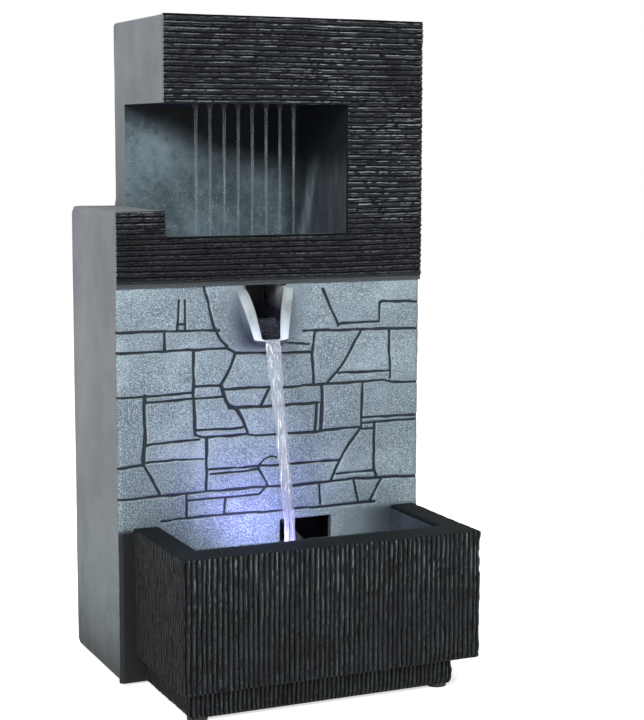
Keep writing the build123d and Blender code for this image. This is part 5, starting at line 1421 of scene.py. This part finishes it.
def dress_cad_nodes():
    """Gives each CAD piece that stays its own finished material."""
    black = plastic("black_plastic", (0.018, 0.018, 0.02), 0.5)
    dark = plastic("dark_plastic", (0.028, 0.028, 0.032), 0.3, 1400.0)
    panel = plastic("panel_plastic", (0.055, 0.06, 0.064), 0.55, 700.0)
    # Painted shade: the nozzles are near black so they vanish into the shade under the ceiling.
    nozzle = plastic("nozzle_plastic", (0.007, 0.007, 0.009), 0.62)
    tray = plastic("tray_plastic", (0.24, 0.26, 0.28), 0.5)
    pale = plastic("pale_plastic", (0.62, 0.62, 0.58), 0.35, 1400.0)
    board = plastic("board_green", (0.02, 0.16, 0.06), 0.4, 1800.0)
    steel = metal("steel", (0.55, 0.56, 0.58), 0.28)
    ferrite = metal("ferrite", (0.09, 0.09, 0.1), 0.45)
    soft = rubber("black_rubber", (0.02, 0.02, 0.022))
    ceramic = plastic("shaft_ceramic", (0.8, 0.79, 0.75), 0.2, 2500.0)
    finishes = {
        panel: "back_panel access_door",
        steel: "back_panel_screws door_hinge_pins latch_cam hose_clamps power_inlet_nut",
        dark: "door_latch pump_flow_dial pump_outlet_nozzle lamp_bezel power_inlet",
        nozzle: "rain_nozzles",
        tray: "rain_tray rain_tray_lid",
        pale: "pump_impeller",
        black: "pump_body pump_cover lamp_housing lead_clip",
        soft: "pump_shaft_bushes pump_suction_cups lamp_seal lamp_suction_cup lamp_lead_gland "
        "pump_lead_gland pump_lead lamp_lead rubber_feet",
        ferrite: "pump_rotor_magnet",
        ceramic: "pump_shaft",
        board: "lamp_board",
        clear_hose(): "riser_hose",
        lamp_lens_glass(): "lamp_lens",
        lamp_chip_glow(): "lamp_chips",
    }
    for material, names in finishes.items():
        for name in names.split():
            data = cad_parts[name].data
            data.materials.clear()
            data.materials.append(material)


# ---- Studio ------------------------------------------------------------------


def studio():
    """Pale floor, soft lights and the lamp's glow."""
    signs = ((-1, -1), (1, -1), (1, 1), (-1, 1))
    corners = [(a * FLOOR_REACH, b * FLOOR_REACH, 0) for a, b in signs]
    mesh = mesh_of("floor", corners, [(0, 1, 2, 3)])
    t = Paint("floor_paper")
    tone = t.blend(t.fade(t.grain(3.0), 0.3, 0.7), (0.84, 0.84, 0.84), (0.88, 0.88, 0.88))
    t.finish(Base_Color=tone, Roughness=0.9, Specular_IOR_Level=0.0)
    t.finish(Emission_Color=(1.0, 1.0, 1.0))
    seen = t.node("ShaderNodeLightPath").outputs["Is Camera Ray"]
    t.finish(Emission_Strength=t.fade(seen, 0.0, 1.0, 0.2, 0.64))
    new_object("floor", mesh, [t.material])
    world = bpy.data.worlds.new("studio")
    bpy.context.scene.world = world
    world.use_nodes = True
    world.node_tree.nodes.clear()
    sky = Tree(world.node_tree)
    seen = sky.node("ShaderNodeLightPath").outputs["Is Camera Ray"]
    strength = sky.fade(seen, 0.0, 1.0, 0.42, 1.0)
    paper = sky.node("ShaderNodeBackground", {"Color": (1.0, 1.0, 1.0), "Strength": strength})
    sky.node("ShaderNodeOutputWorld", {"Surface": paper.outputs[0]})
    bpy.context.scene.view_settings.view_transform = "Standard"
    soft_light("key", (-1.35, -1.35, 1.25), 0.9, 34, (1.0, 0.995, 0.98))
    soft_light("fill", (1.6, -1.5, 0.7), 1.2, 9, (0.94, 0.97, 1.0))
    soft_light("top", (0.0, 0.1, 1.8), 0.9, 9, (1.0, 1.0, 1.0))
    glow = bpy.data.lights.new("lamp_glow", "SPOT")
    glow.energy = 0.3
    glow.color = (0.46, 0.42, 1.0)
    glow.shadow_soft_size = 0.01
    glow.spot_size = math.radians(130)
    glow.spot_blend = 1.0
    lamp_low, lamp_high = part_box("lamp_lens")
    lamp = Vector(((lamp_low.x + lamp_high.x) / 2, lamp_low.y, POOL_LEVEL + 2 * MM))
    aim_light(put("lamp_glow", glow), lamp, Vector((lamp.x, STONE_Y, POOL_LEVEL + 42 * MM)))


def aim_light(holder, place, target):
    """Puts a light somewhere and turns it to its target."""
    holder.location = place
    holder.rotation_euler = (target - place).to_track_quat("-Z", "Y").to_euler()


def soft_light(name, place, size, power, colour):
    """A square studio light that faces the fountain."""
    light = bpy.data.lights.new(name, "AREA")
    light.size = size
    light.energy = power
    light.color = colour
    aim_light(put(name, light), Vector(place), Vector((0, 0, 0.2)))


def camera():
    """The camera, a little left of the front and just above the niche's floor."""
    data = bpy.data.cameras.new("camera")
    data.lens = CAMERA_LENS
    data.sensor_width = 36
    holder = put("camera", data)
    holder.location = CAMERA_PLACE
    turn = Matrix.Rotation(math.radians(CAMERA_AZIMUTH), 4, "Z")
    tilt = Matrix.Rotation(math.radians(90 - CAMERA_DROP), 4, "X")
    roll = Matrix.Rotation(math.radians(CAMERA_ROLL), 4, "Z")
    holder.rotation_euler = (turn @ tilt @ roll).to_euler()
    bpy.context.scene.camera = holder


camera()
studio()
grey_paint_made = grey_paint()
ribbed_front()
stone_wall()
tower_shell()
basin()
spout()
rain(broken_water("rain_water", (0.36, 0.43, 0.46), 0.08, 0.25, 0.5))
fall(
    broken_water("running_water", (0.42, 0.46, 0.56), 0.42, 0.95, 0.75),
    clear_water("sliding_water", (0.6, 0.62, 0.8), 0.1),
)
still_water()
dress_cad_nodes()
